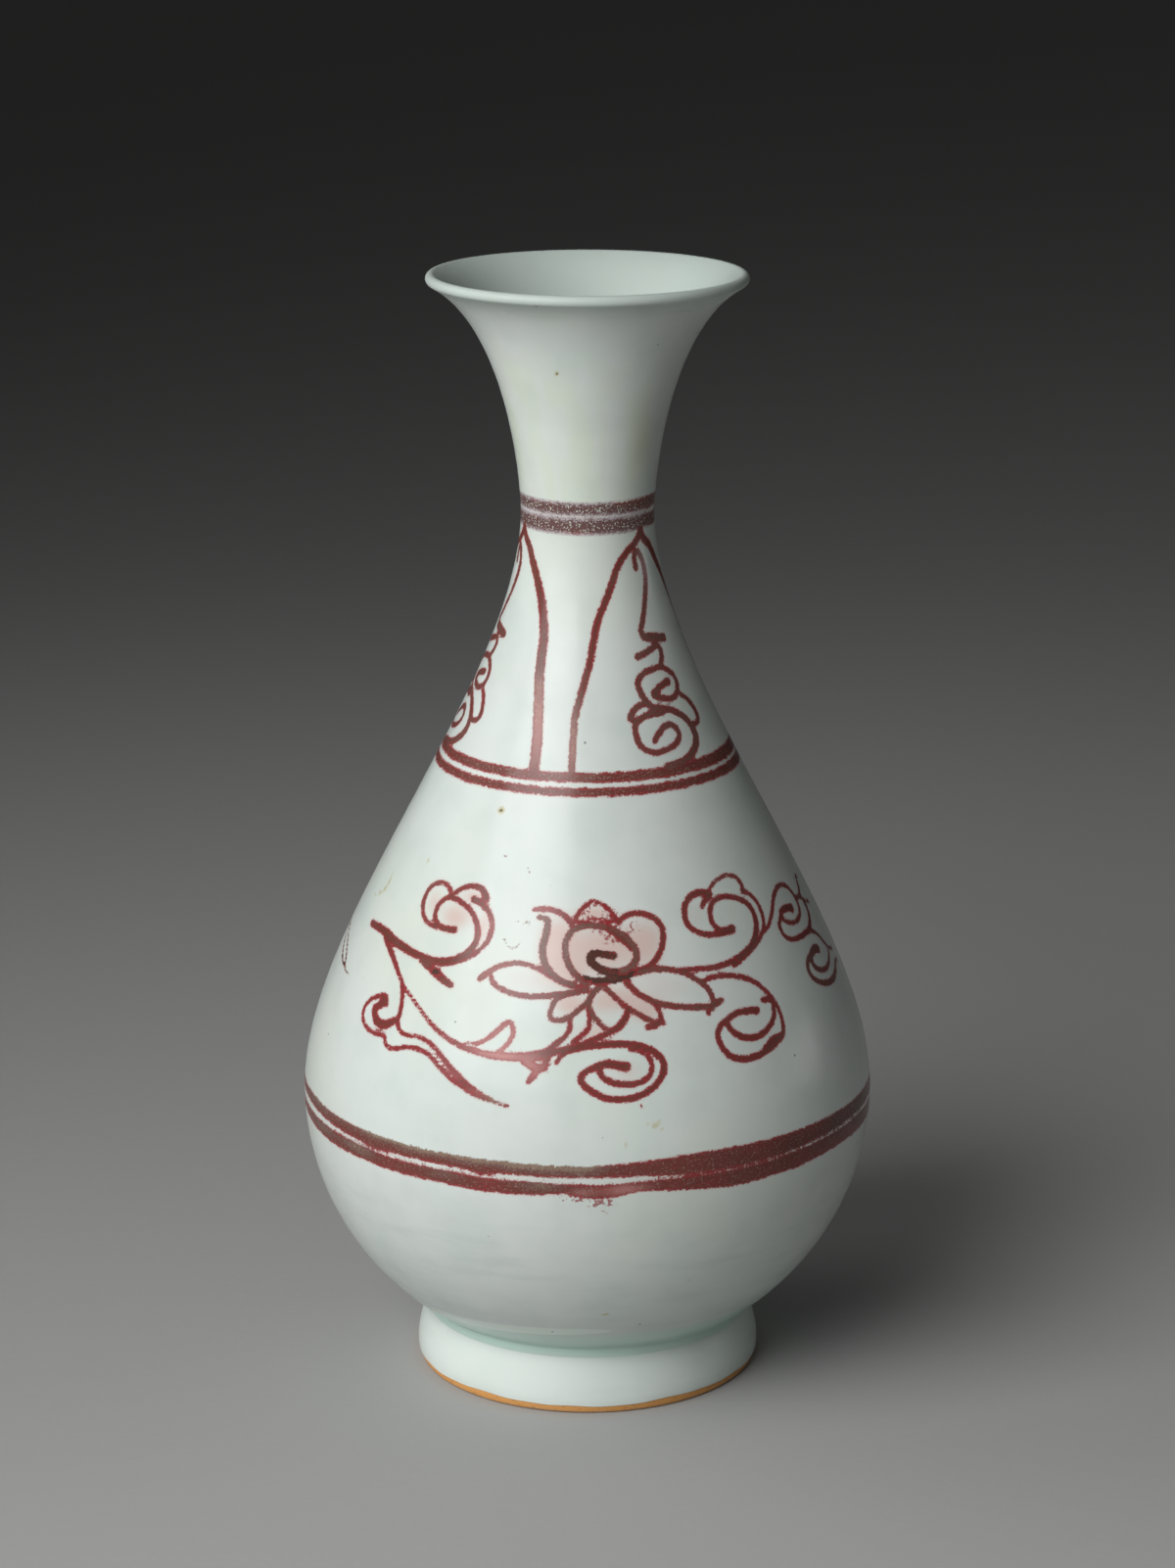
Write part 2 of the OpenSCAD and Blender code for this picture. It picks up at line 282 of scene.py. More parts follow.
# One lappet of the shoulder, and how often it comes round the vase
LAPPET_REPEATS = 3
LAPPET = (
    Stroke((1.7, 1.8, 1.8, 1.9, 2.0), 0.4, (
        (-6.2, 157), (-6.3, 160), (-6.2, 168), (-5.5, 171), (-3.5, 174.5), (-1, 178.5), (1.5, 182),
        (3.5, 186), (6, 190), (9.5, 193), (14, 196), (18.5, 199), (23, 202), (28.5, 204.5), (36, 206.5),
        (44, 208), (50, 210), (52, 212))),
    Stroke((2.0, 2.3, 2.6, 2.7), 0.4, (
        (50, 212), (52, 210), (55, 208.5), (63, 206.5), (70, 203.3), (77, 200), (82, 197), (86, 194),
        (89.5, 190), (91.5, 186), (92, 182), (93, 178), (94.5, 174), (96, 170), (97.2, 166), (98, 162),
        (98.5, 157))),
    Stroke((1.5, 1.6, 1.6), 0.65, (
        (42, 202), (41, 204.5), (44, 206), (47, 205.5), (50.5, 203), (51, 200), (48.5, 197), (45, 194),
        (41, 191), (38, 189), (36.5, 187.8), (39, 186.6))),
    Stroke((2.1, 2.4, 2.2), 0.65, ((38, 186.6), (46, 186), (55, 185.4))),
    Stroke((1.5, 1.6), 0.65, ((46, 184.8), (49, 183), (48, 181), (45, 179.3))),
    Stroke((1.6, 1.8), 0.65, ((46, 184.2), (40, 183.4), (31, 182.4))),
    Stroke((1.9, 1.7, 1.5, 1.6, 1.8, 1.8, 2.3, 1.8), 0.65, (
        (47.5, 175.9), (42, 175.3), (37, 174.3), (36, 173.6), (40, 172.7), (46, 172.2), (51, 172.8),
        (54, 174.8), (53, 177), (49, 178.5), (44, 179.3), (38, 179.1), (32, 178.5), (28, 177), (28, 175),
        (30, 173), (33, 171.2), (38, 170.6), (44, 169.7), (49, 168.2), (52.5, 166.3), (54, 164), (53, 162),
        (50, 160.5), (46, 159.2), (40, 158.4), (33, 158.1))),
    Stroke((1.9, 1.6, 1.6, 1.6, 1.7), 0.65, (
        (38, 169.7), (31, 169.7), (26, 169), (22.5, 168), (22, 165.5), (23, 163.5), (26, 162), (30, 161.3),
        (35, 161.6), (40, 162.3), (43.5, 163.7), (44, 165.3), (41, 166.7), (37, 166.5), (33, 165.2),
        (30.5, 164))),
    Stroke((1.6, 1.8), 0.65, ((31, 172.3), (25, 171.6), (21.5, 170.2), (20.8, 169), (23, 168.6))),
    Stroke((1.4, 1.6, 1.4), 0.65, (
        (53.5, 172.5), (57, 171.3), (60, 169.3), (61, 167.3), (59.5, 165.8), (55.5, 165.5), (53, 165.8))),
)

SPRAY_LEFT = (
    Stroke((1.8, 2.6, 1.9, 2.1, 1.6, 1.4, 1.4, 1.5, 1.9), 0.42, (
        (-69.5, 117), (-64, 117.2), (-60, 117), (-56, 116.3), (-50, 115.7), (-44, 115.1), (-38, 115.2),
        (-34, 116.2), (-31, 118), (-29.3, 120.5), (-29.3, 123), (-31, 125.5), (-34, 127.5), (-38, 128.6),
        (-41, 128.8), (-43.5, 127.3), (-44.3, 125.2), (-43.3, 123.3), (-41, 122.3), (-38.5, 122.2),
        (-36.3, 122.4))),
    Stroke((1.2, 1.4, 1.3), 0.5, (
        (-40.5, 129), (-42, 130.6), (-45, 131.3), (-48.5, 130.3), (-50, 128), (-49.6, 125.5), (-48, 123.5),
        (-45.5, 122.4), (-42, 122))),
    Stroke((1.3, 1.4, 2.0), 0.42, ((-40.5, 129.3), (-38, 131), (-34.5, 132.1), (-31, 131.8), (-29, 130))),
    Stroke((1.8, 1.4, 1.3, 1.5), 0.5, (
        (-33, 129.5), (-30, 128.8), (-27, 127), (-25.6, 124.5), (-26, 121.5), (-28, 119), (-31, 117),
        (-35, 115.4), (-38, 114.8))),
    Stroke((1.6, 2.4, 1.6), 0.5, ((-44, 114.5), (-40, 113.3), (-36.5, 112), (-33.2, 110.8))),
    Stroke((1.9, 1.6, 1.0, 1.0, 1.3, 1.6, 2.0, 2.5), 0.2, (
        (-60, 116.3), (-57, 114.8), (-53, 112.6), (-49.5, 110), (-46.5, 107.8), (-44, 106.6), (-40, 104.3),
        (-36, 101.8), (-32, 99.9), (-28, 98.6), (-24, 97.8), (-20, 97.5), (-16, 97.6), (-12, 98), (-8, 99))),
    Stroke((1.3, 1.5, 1.5, 2.4, 2.4, 1.4), 0.15, (
        (-48, 109), (-46.5, 106.5), (-45.7, 103.5), (-45.6, 101), (-47, 100), (-49, 98.8), (-51.5, 98.7),
        (-53.5, 100), (-54.5, 101.5))),
    Stroke((3.0, 1.6), 0.1, ((-51.8, 103.4), (-53, 102), (-54.2, 100.8))),
    Stroke((1.5, 1.2, 1.2, 1.2, 1.2, 1.4, 0.8), 0.2, (
        (-50.5, 103), (-51.5, 104.6), (-54, 104), (-56.5, 102.5), (-57.8, 100.2), (-57, 98), (-55, 96.7),
        (-52.5, 96.2), (-50, 96.3), (-48.3, 96.3), (-47.5, 95), (-46, 94.3), (-44, 94.6), (-42, 95.4),
        (-39.5, 95.9), (-37, 95.8), (-34.5, 95), (-32, 93.2), (-29, 91.3), (-26, 89.8), (-23, 88.4),
        (-19.5, 87.6), (-16, 86.8))),
    Stroke((1.4, 1.1, 1.1, 1.3, 1.9, 0.8), 0.2, (
        (-45.6, 101), (-44.8, 99.2), (-43.3, 98.3), (-41, 98.3), (-38.5, 98.5), (-36, 98), (-33.5, 96.8),
        (-31, 94.8), (-28.5, 92.8), (-25.5, 90.6), (-22, 88.8), (-19, 87.7))),
    Stroke((0.8, 1.4, 1.2, 1.2), 0.2, (
        (-26.5, 99.3), (-24, 99.6), (-21.5, 101.2), (-19.5, 103.2), (-17.8, 104.8), (-16.8, 104.6),
        (-16.2, 102.8), (-17, 100.5), (-19, 98.2))),
    Stroke((1.8, 2.2, 1.6), 0.15, ((-14, 97.6), (-11.8, 96.2), (-9.6, 95.6))),
    Stroke((1.6, 1.8, 1.4), 0.1, ((-10.2, 95.8), (-11, 94), (-12, 92.6))),
    Stroke((1.6, 1.6), 0.15, ((-8.3, 98.6), (-8.6, 96.8), (-9.8, 95.4))),
    Stroke((1.0, 0.9), 0.1, ((-9.6, 95.2), (-8.6, 95.4))),
)

FLOWER = (
    Stroke((1.3, 1.1, 1.3), 0.35, (
        (-3.5, 127), (-2, 129), (0.5, 130.8), (2, 131), (4.5, 130.2), (6.5, 128.7), (7.8, 126.8))),
    Stroke((0.9, 0.9), 0.3, ((-3, 126.6), (2, 127.2), (8, 126.6))),
    Stroke((1.6, 1.7, 1.7, 1.8, 2.0), 0.85, (
        (-4, 125), (-1, 126), (2, 126), (6, 125.2), (9.5, 123.6), (11.8, 121.2), (12, 118.8), (10.5, 117),
        (7.5, 116))),
    Stroke((2.0, 2.0, 1.8, 2.1), -0.9, (
        (7.5, 116), (4, 116.6), (1.5, 117.8), (0.5, 119.2), (1.5, 120.1), (4, 120), (6.3, 119.6))),
    Stroke((2.0, 2.2, 1.4), 0.45, ((5, 125.6), (8.5, 123.6), (11, 121))),
    Stroke((1.6, 1.7, 1.7), 0.85, (
        (-4, 125), (-5.5, 122.5), (-5.3, 119.5), (-4, 117), (-2, 115), (0, 113.8))),
    Stroke((1.2, 1.5, 1.4), 0.3, ((-14.5, 129), (-11, 129.2), (-8, 128.8), (-5.5, 127.6), (-4, 126))),
    Stroke((1.3, 1.9, 1.7, 1.4), 0.95, (
        (-13, 127.4), (-10.8, 127), (-10.6, 124.5), (-11.3, 121), (-10.5, 118), (-8.5, 115.8), (-6, 114.3),
        (-3, 113.6))),
    Stroke((1.6, 1.3, 1.3, 1.5), 0.6, (
        (-26, 113.3), (-24, 115), (-21, 116.7), (-17, 117.5), (-13, 117), (-9.5, 115.6), (-6, 114),
        (-3, 113.2), (0, 112.8))),
    Stroke((1.2, 1.4, 1.5, 1.3), 0.65, (
        (-24, 115), (-22.5, 112.8), (-19.5, 111.5), (-15.5, 110.8), (-11, 110.9), (-7, 111.4), (-3, 112.1),
        (0, 112.5))),
    Stroke((1.4, 1.6, 1.5), 0.4, (
        (8, 126.5), (10, 127.8), (13, 128.3), (16.5, 127.6), (19, 126), (19.8, 123.8), (19, 121),
        (17.2, 118.5), (15, 117), (12, 116.3))),
    Stroke((1.8, 1.5, 1.5), 0.75, (
        (8, 115.5), (12, 115.9), (16, 116.3), (20, 115.9), (23.5, 114.8), (26.5, 113), (28.8, 110.8),
        (29.6, 108.3), (29, 106.5))),
    Stroke((1.5, 1.6, 1.7), 0.6, (
        (9.5, 114), (11, 112), (13.5, 110.3), (17, 108.8), (21, 107.9), (25, 107.3), (28.5, 107),
        (31.5, 107.8))),
    Stroke((1.4, 1.2), 0.3, ((27.8, 105.7), (29, 107), (31.8, 108))),
    Stroke((1.4, 1.9, 2.2, 1.8), -1.1, (
        (-0.9, 115), (1.8, 114.4), (4.1, 114.4), (6.8, 114.8), (9.5, 115.5), (12.3, 116.2))),
    Stroke((1.6, 1.3, 1.4, 1.4), 0.7, (
        (0, 112.5), (-3, 112), (-6.5, 110.9), (-8, 108.8), (-8.3, 106.6), (-6.5, 106), (-4, 106.8),
        (-2, 108.3), (0, 110), (1.5, 112))),
    Stroke((1.7, 1.4, 1.4, 1.3), 0.75, (
        (3, 113.2), (1, 111.6), (0.3, 109.3), (0.8, 108), (1.7, 106.6), (3.1, 105), (4.7, 103.7))),
    Stroke((1.4, 1.5, 1.3), 0.6, (
        (4, 113.2), (6, 111.2), (8.5, 109), (11.5, 107), (14, 105.6), (16.8, 104.8))),
    Stroke((1.4, 1.3, 1.6), 0.5, (
        (9, 113.8), (12, 111.3), (15, 109.3), (16.2, 107.3), (16.3, 105.3), (14.8, 104.3), (13.2, 104.2))),
    Stroke((1.6, 1.9, 1.5, 1.6, 2.0), 0.4, (
        (9.3, 108.4), (8.4, 106.4), (6.9, 104.7), (4.7, 103.5), (1.6, 102.1), (-1.4, 100.9), (-6, 99.5),
        (-8.5, 99))),
    Stroke((1.3, 1.3, 1.6), 0.35, ((-4, 106.5), (-3.8, 104.5), (-5, 102.5), (-7, 100.8), (-8.5, 99.5))),
    Stroke((1.2, 1.4), 0.35, ((0, 109), (0.5, 106), (-0.5, 103.5), (-3, 101.5))),
    Stroke((1.2, 1.8, 1.8, 1.8, 1.7, 1.7, 1.7, 1.6, 2.4), 0.3, (
        (-6.5, 97), (-5, 99), (-2, 100.2), (2, 100.8), (6, 101), (10, 100.6), (13.5, 99.3), (15.7, 97),
        (15.8, 94.5), (14.2, 92), (11.5, 90), (8, 89), (4, 89.3), (1, 90.8), (-1.2, 92.8), (-1, 94.6),
        (1, 95.8), (4, 96.8), (8, 96))),
    Stroke((1.2, 1.3, 1.7, 1.6), 0.35, (
        (9, 99.8), (12, 98.8), (13.3, 96.5), (13, 94.2), (11, 92.6), (8, 92.2), (5, 92.8), (3, 94),
        (2.5, 95.5))),
)

SPRAY_RIGHT = (
    Stroke((1.4, 1.6, 1.9, 1.6, 1.5, 1.5, 1.4, 1.9), 0.45, (
        (23, 115.5), (28, 115.1), (34, 115), (40, 116), (44.5, 117.5), (47.5, 119.8), (49, 122.5),
        (48.8, 125), (47, 127), (43.5, 128.4), (40, 129), (37, 128.6), (35, 127.2), (34.3, 125),
        (35, 123.3), (37, 122.2), (40.3, 122.1))),
    Stroke((2.0, 1.6, 1.5, 1.7), 0.35, (
        (36, 130.2), (33, 130.9), (30, 130.5), (27.5, 128.8), (26.7, 126.5), (27.5, 124.2), (30, 122.6),
        (33, 121.8), (37, 121.6), (40, 121.6))),
    Stroke((1.6, 1.2), 0.35, ((36, 129.8), (33.5, 128.8), (32.5, 127.8))),
    Stroke((0.9, 1.2, 1.4), 0.5, (
        (35.5, 130.5), (38, 132), (41.5, 133), (45, 133), (47.5, 132), (48.5, 130.2), (47.8, 129))),
    Stroke((1.5, 1.2, 1.3, 1.6), 0.5, (
        (47.8, 129), (50, 128), (51.8, 126), (52.3, 123.5), (51.5, 121), (49.5, 119.2), (46, 117.5),
        (42, 116), (37.5, 114.6))),
    Stroke((1.2, 1.5, 1.3, 1.3, 1.8, 1.8, 1.5, 1.6, 2.0), 0.4, (
        (28, 112.5), (31, 113), (35, 112.7), (39, 111.6), (42, 110), (44.3, 107.8), (46, 105.3), (47, 102.5),
        (47, 99.8), (46.2, 97.5), (44, 96.2), (40.5, 95), (37, 94.3), (33.5, 94.6), (31, 95.8), (29.5, 98),
        (29, 100.5), (30, 102.4), (32, 103.5), (35, 104.5), (38, 104.4), (40.5, 104))),
    Stroke((1.6, 1.4, 1.7, 1.8, 1.4), 0.35, (
        (43, 105.8), (45.5, 105.2), (45.5, 102.8), (44, 100.7), (41.5, 99.2), (38.5, 98.5), (35.5, 99),
        (33.2, 100.5), (32, 102.3), (31.8, 103.3))),
    Stroke((1.8, 2.2, 1.6), 0.35, ((40, 95.3), (43, 96.8), (46, 97.2))),
    Stroke((1.0, 1.4, 1.3, 1.3, 1.3, 1.4, 2.4), 0.5, (
        (50.5, 119.5), (53, 120.3), (56, 122.2), (59, 124.6), (62, 126.2), (65, 126.8), (68, 126.3),
        (70.5, 124.6), (71.5, 122.3), (71, 120), (69, 118.7), (66, 118.2), (63, 118.6), (60.5, 119.8),
        (59.5, 121), (61, 121.9), (64, 121.8), (66.5, 121.2))),
    Stroke((1.4, 1.4, 1.7, 1.4), 0.5, (
        (60, 121), (57.8, 119.8), (57.3, 118), (58.5, 116.3), (61, 115.3), (64.5, 114.9), (68, 114.9),
        (71.5, 115), (74.5, 116.3), (76.5, 118.3), (76.5, 120.5))),
    Stroke((1.4, 1.2, 0.8), 0.75, ((71.5, 122.5), (75, 122), (78, 123.5), (80, 125.5), (81.5, 125))),
    Stroke((1.4, 0.8), 0.75, ((75, 121.8), (78, 120), (81, 119))),
    Stroke((1.3, 1.2, 1.2), 0.8, ((69, 114.8), (73, 114), (76, 112), (78, 109.5), (80, 107.8), (82.5, 107))),
    Stroke((1.2, 1.4, 1.8, 2.4), 0.8, (
        (78, 107.5), (75, 106), (72, 105.5), (69, 105.9), (66.5, 107), (65.3, 108.7), (66, 110), (69, 110.8),
        (71.5, 110.2))),
    Stroke((1.6, 1.5, 1.7, 1.2), 0.85, (
        (66, 110.2), (63.5, 109.5), (62.3, 107.8), (63, 105.8), (65.5, 104), (69, 102.8), (73, 102.4),
        (77, 103), (80, 104.2), (83, 104.2))),
)

TRAILING_LEAF = (
    Stroke((0.7, 0.9, 0.8), -1.0, ((-92, 111.5), (-86, 108.4), (-81, 106.2), (-77.5, 105.3), (-75.5, 105))),
    Stroke((0.6, 0.8, 0.8), -1.0, ((-89, 111.6), (-82, 109.4), (-77, 107), (-75.3, 105.6), (-75.5, 105))),
    Stroke((0.9, 0.8, 0.4), 1.2, ((-75.5, 105.1), (-73, 104.6), (-70, 104.2))),
)

# Speck of paint below the low curl
CURL_SPECK = (Stroke((0.6, 0.5), 0.0, ((10.6, 87.4), (10.8, 87.0))),)

# Hairline scratches beside the flower
SCRATCHES = (
    Stroke((0.25, 0.25), 1.6, ((-22, 122.6), (-20.4, 121), (-18.7, 120.4), (-17.2, 122))),
    Stroke((0.25, 0.25), 1.6, ((-19.3, 126.4), (-17.3, 125.7), (-15.5, 126.5), (-15.8, 125))),
    Stroke((0.25, 0.3), 1.6, ((-18.5, 137.7), (-17.1, 136.5))),
    Stroke((0.3, 0.5), 1.6, ((-26.3, 139.6), (-24.9, 139))),
)

# The lotus spray of the front, and the turn in degrees at which it comes again behind
SPRAY = SPRAY_LEFT + FLOWER + SPRAY_RIGHT
BACK_TURN = 184

# Pale pink inside the petals and curls
SPRAY_BLUSH = (
    Blot(-37, 125, 4.5, 3.2, 1.1), Blot(-46, 127, 2.5, 3.5, 0.7), Blot(-33, 130, 3.5, 1.5, 0.9),
    Blot(-28, 124, 2.2, 5.0, 0.8), Blot(-8, 121, 4.2, 7.5, 1.2), Blot(3, 121, 8.0, 6.0, 1.1),
    Blot(15, 122, 5.0, 6.5, 0.95), Blot(-15, 114, 9.0, 3.2, 0.4), Blot(20, 112, 10.0, 4.2, 0.42),
    Blot(-4, 109.5, 4.0, 2.6, 1.0), Blot(3.8, 110, 3.5, 3.5, 0.8), Blot(9, 110.5, 3.5, 3.0, 0.8),
    Blot(13.2, 107.5, 4.0, 3.0, 0.9), Blot(-3, 116, 3.0, 2.5, 0.6),
    Blot(2, 103.5, 6.0, 2.5, 0.8), Blot(8, 95, 5.0, 3.5, 0.5), Blot(2, 128.5, 4.5, 1.8, 1.0),
    Blot(30, 126, 3.5, 4.0, 0.35), Blot(41, 125, 4.5, 3.5, 0.25), Blot(38, 101.5, 6.0, 3.0, 0.3),
)

# Changes of tone along the strokes
SPRAY_TONES = (
    Blot(-38.5, 112.9, 2.0, 1.0, -1.9), Blot(-19, 88, 4.5, 1.6, 1.0),
    Blot(42, 132.5, 6.0, 1.2, 0.3),
)

# Dry-brush patches: the bud on top of the flower, round its pale middle, and strokes below it
SPRAY_DRY = (
    Blot(-0.5, 128.4, 2.2, 1.8, 0.7), Blot(2.5, 130.0, 2.4, 1.2, 0.6), Blot(5.5, 128.0, 2.2, 1.8, 0.7),
    Blot(2.2, 127.2, 4.5, 0.7, 0.6), Blot(2.0, 129.0, 1.1, 0.9, -1.3), Blot(7.4, 122.9, 2.8, 1.2, 0.9),
    Blot(4.5, 124.6, 3.0, 0.9, 0.7), Blot(11.5, 125.4, 2.6, 1.6, 0.5), Blot(3.5, 102.6, 4.5, 1.0, 0.35),
    Blot(-9.5, 96.4, 2.6, 1.8, 0.6), Blot(-14, 98.4, 5.0, 1.2, 0.3),
)

# Stretches where the paint is thin, and where it is painted pale as the glaze's highlight crosses the spray
SPRAY_THIN_AND_HIGHLIGHT = (
    Blot(-23, 99, 6.0, 3.0, 0.5), Blot(-17, 97.6, 6.0, 2.5, 0.6), Blot(-18, 102.5, 4.5, 3.5, 0.6),
    Blot(-11, 95, 4.0, 3.5, 0.6), Blot(-20, 114.5, 9.0, 3.5, 0.55), Blot(-12, 129, 4.0, 1.5, 0.3),
    Blot(-27, 124, 3.0, 5.0, 0.45), Blot(-22, 88.8, 6.0, 1.6, 0.5), Blot(-28, 92, 4.0, 2.0, 0.35),
)

# Frayed lower edge of the belly lines
BELLY_FRAY = (Blot(-2, 65.6, 4.0, 0.9, 0.9), Blot(2.5, 65, 3.0, 1.2, 0.8), Blot(3.5, 63, 1.2, 1.5, 0.45))

# Stretches of the belly lines where the paint is thin, and of the lappets' outlines painted pale where the
# glaze's highlight crosses them
BAND_THIN_AND_HIGHLIGHT = (
    Blot(-23, 168, 7.0, 13.0, 0.6), Blot(-6, 162, 5.0, 9.0, 0.35), Blot(7, 68, 6.0, 1.8, 0.6),
    Blot(-1, 67.5, 4.0, 1.4, 0.35),
)

# Stretches of the lappets' outlines painted grey where the glaze's highlight crosses them: painted highlight
LAPPET_HIGHLIGHT = (Blot(-25, 172, 7.0, 14.0, 0.7), Blot(-6, 165, 5.0, 10.0, 0.6))

# Stretches of the belly lines that fired olive-grey
BELLY_GREY = (
    Blot(-70, 74.4, 8.0, 1.4, 1.0), Blot(-58, 74.4, 8.0, 1.4, 0.9), Blot(-46, 74.4, 8.0, 1.7, 1.4),
    Blot(-34, 74.3, 8.0, 1.7, 1.5), Blot(-22, 74.2, 8.0, 1.6, 1.2), Blot(-11, 74, 8.0, 1.9, 1.4),
    Blot(-1, 73.8, 7.0, 1.9, 1.2), Blot(-66, 68.5, 7.0, 1.6, 0.8), Blot(-52, 69, 7.0, 1.5, 1.0),
    Blot(-30, 69, 7.0, 1.3, 0.6), Blot(-9, 69, 6.0, 1.6, 0.9), Blot(62, 75.2, 12.0, 0.7, 0.8),
    Blot(84, 75, 10.0, 1.0, 0.7),
)

# Stretches of the belly lines at the right that are thick and dark
BELLY_DARK = (
    Blot(30, 72, 9.0, 4.0, 0.25), Blot(45, 72, 9.0, 4.0, 0.4), Blot(58, 72, 9.0, 4.0, 0.55),
    Blot(72, 72, 9.0, 4.0, 0.7), Blot(86, 71, 9.0, 4.0, 0.5),
)

# Painted reflection of the foot wall in the glaze: a pale strip over the pool at the left of the foot
FOOT_REFLECTION = (
    Blot(-66, 22.4, 9.0, 2.6, 0.8), Blot(-52, 22.8, 9.0, 2.6, 0.8), Blot(-38, 23.4, 9.0, 2.6, 0.8),
    Blot(-24, 24.2, 9.0, 2.4, 0.8), Blot(-11, 25, 9.0, 2.2, 0.8), Blot(1, 25.6, 8.0, 1.8, 0.7),
)

# Kiln stains, and pits where they are strongest, and a broad tint that darkens the right side of the neck
STAINS = (
    Blot(-31.4, 148.8, 0.7, 0.6, 1.6), Blot(-31, 148.6, 1.5, 1.3, 0.25), Blot(-70.6, 128.4, 0.5, 1.4, 0.5),
    Blot(-70.2, 126.4, 0.6, 1.2, 0.7), Blot(-71, 124.6, 0.8, 0.9, 0.8), Blot(-73, 123.2, 1.1, 0.6, 0.8),
    Blot(-76, 121.9, 1.3, 0.5, 0.6), Blot(-54.7, 134.6, 0.5, 0.7, 0.8), Blot(13.2, 82.7, 1.0, 0.8, 0.7),
    Blot(14.2, 83.6, 0.6, 0.5, 0.6), Blot(11.7, 83.1, 0.5, 0.4, 0.6), Blot(14.6, 81.9, 0.7, 0.4, 0.6),
    Blot(17.4, 82.7, 0.5, 0.4, 0.4), Blot(7.5, 78.7, 0.4, 1.0, 0.7), Blot(4.1, 32.1, 0.8, 0.6, 1.1),
    Blot(22.3, 41.3, 0.6, 0.5, 0.7), Blot(-13, 19.6, 1.8, 0.9, 0.35), Blot(-17.7, 250, 0.4, 0.4, 2.4),
    Blot(-10.9, 133.9, 0.3, 0.3, 1.2), Blot(-62.6, 106, 0.6, 0.4, 0.5), Blot(48, 232, 7.0, 15.0, 0.32),
)

# Soft spots of each paint channel: those that go with every spray, and those that come once
SPRAY_BLOTS = {"wash": SPRAY_BLUSH, "tone": SPRAY_TONES, "dry": SPRAY_DRY, "thin": SPRAY_THIN_AND_HIGHLIGHT}
SINGLE_BLOTS = {
    "specks": NECK_CLEAR,
    "tone": BELLY_GREY + LAPPET_HIGHLIGHT,
    "dark": BELLY_DARK,
    "dry": BELLY_FRAY,
    "thin": BAND_THIN_AND_HIGHLIGHT,
    "stain": STAINS,
    "roll": FOOT_REFLECTION,
}

# The attribute holds the distance inside a stroke's edge plus this reach, so 0 is bare glaze
INK_REACH = 4.0

# How far the paint draws back from a stroke's edge, in millimetres
INK_TRIM = 0.16

# Steps from one point of a stroke to the next
SPAN_STEPS = 4


def points_of(mesh):
    """Places of a mesh's points, a row for each."""
    places = np.empty(len(mesh.vertices) * 3)
    mesh.vertices.foreach_get("co", places)
    return places.reshape(-1, 3)


def run_along(path):
    """Distance along a path at each of its points."""
    steps = np.hypot(*np.diff(path, axis=0).T)
    return np.concatenate(([0.0], np.cumsum(steps)))


class Canvas:
    """The outside of a glaze section, unrolled: where each of its points is and what paint it holds."""

    CHANNELS = ("ink", "tone", "specks", "thin", "wash", "dry", "dark", "stain", "roll", "inner")

    def __init__(self, mesh, outer):
        x, y, z = points_of(mesh).T
        self.heights = outer[:, 1] / MM
        self.runs = run_along(outer) / MM
        true_radius = np.interp(z, outer[:, 1], outer[:, 0])
        self.turn = np.degrees(np.arctan2(x, -y))
        self.per_degree = np.radians(true_radius / MM)
        self.run = self.run_at(z / MM)
        self.outside = np.hypot(x, y) > true_radius - GLAZE_T / 2
        self.paint = {name: np.zeros(len(z)) for name in self.CHANNELS}
        # The inside is marked for the finish, which paints it darker as the shade of the mouth's hollow
        self.paint["inner"][~self.outside] = 1.0

    def run_at(self, height):
        """Distance along the outline at a height."""
        return np.interp(height, self.heights, self.runs)

    def away(self, turn):
        """Degrees from a direction, the short way round."""
        return (self.turn - turn + 180) % 360 - 180

    def draw(self, stroke, turn=0.0, specks=0.0):
        """Lays one brush stroke, turned round the vase."""
        line = smooth_line(np.array(stroke.points, float))
        share = np.linspace(0, 1, len(line))
        half = np.interp(share, np.linspace(0, 1, len(stroke.widths)), stroke.widths) / 2
        middle = 0.0 if np.ptp(line[:, 0]) > 360 else (line[:, 0].min() + line[:, 0].max()) / 2
        across = self.away(middle + turn)
        line_turn = line[:, 0] - middle
        line_run = self.run_at(line[:, 1])
        reach = INK_REACH + half.max()
        near = self.outside & (self.run > line_run.min() - reach) & (self.run < line_run.max() + reach)
        near &= (np.abs(across) - np.abs(line_turn).max()) * self.per_degree < reach
        near = np.flatnonzero(near)
        if not near.size:
            return
        scale = self.per_degree[near, None]
        start_x = (line_turn[None, :-1] - across[near, None]) * scale
        start_y = line_run[None, :-1] - self.run[near, None]
        step_x = np.diff(line_turn)[None] * scale
        step_y = np.diff(line_run)[None]
        along = -(start_x * step_x + start_y * step_y) / np.maximum(step_x ** 2 + step_y ** 2, 1e-9)
        along = np.clip(along, 0, 1)
        gap = np.hypot(start_x + along * step_x, start_y + along * step_y)
        inside = half[None, :-1] + along * np.diff(half)[None] - gap
        depth = np.clip(inside.max(axis=1) + INK_REACH, 0, None)
        over = depth > self.paint["ink"][near]
        hit = near[over]
        self.paint["ink"][hit] = depth[over]
        self.paint["tone"][hit] = stroke.tone
        self.paint["specks"][hit] = specks

    def ring(self, ring):
        """Lays a painted line right round the vase."""
        before = tuple((turn - 360, low, high) for turn, low, high in ring.edges[-1:])
        after = tuple((turn + 360, low, high) for turn, low, high in ring.edges[:2])
        edges = before + ring.edges + after
        points = tuple((turn, (low + high) / 2) for turn, low, high in edges)
        widths = tuple(high - low for _, low, high in edges)
        self.draw(Stroke(widths, ring.tone, points), 0.0, ring.specks)

    def spots(self, channel, blots, turn=0.0):
        """Adds soft spots to a channel, turned round the vase."""
        for blot in blots:
            across = self.away(blot.turn + turn) * self.per_degree / blot.across
            up = (self.run - self.run_at(blot.height)) / blot.up
            self.paint[channel] += self.outside * blot.strength * np.exp(-across ** 2 - up ** 2)


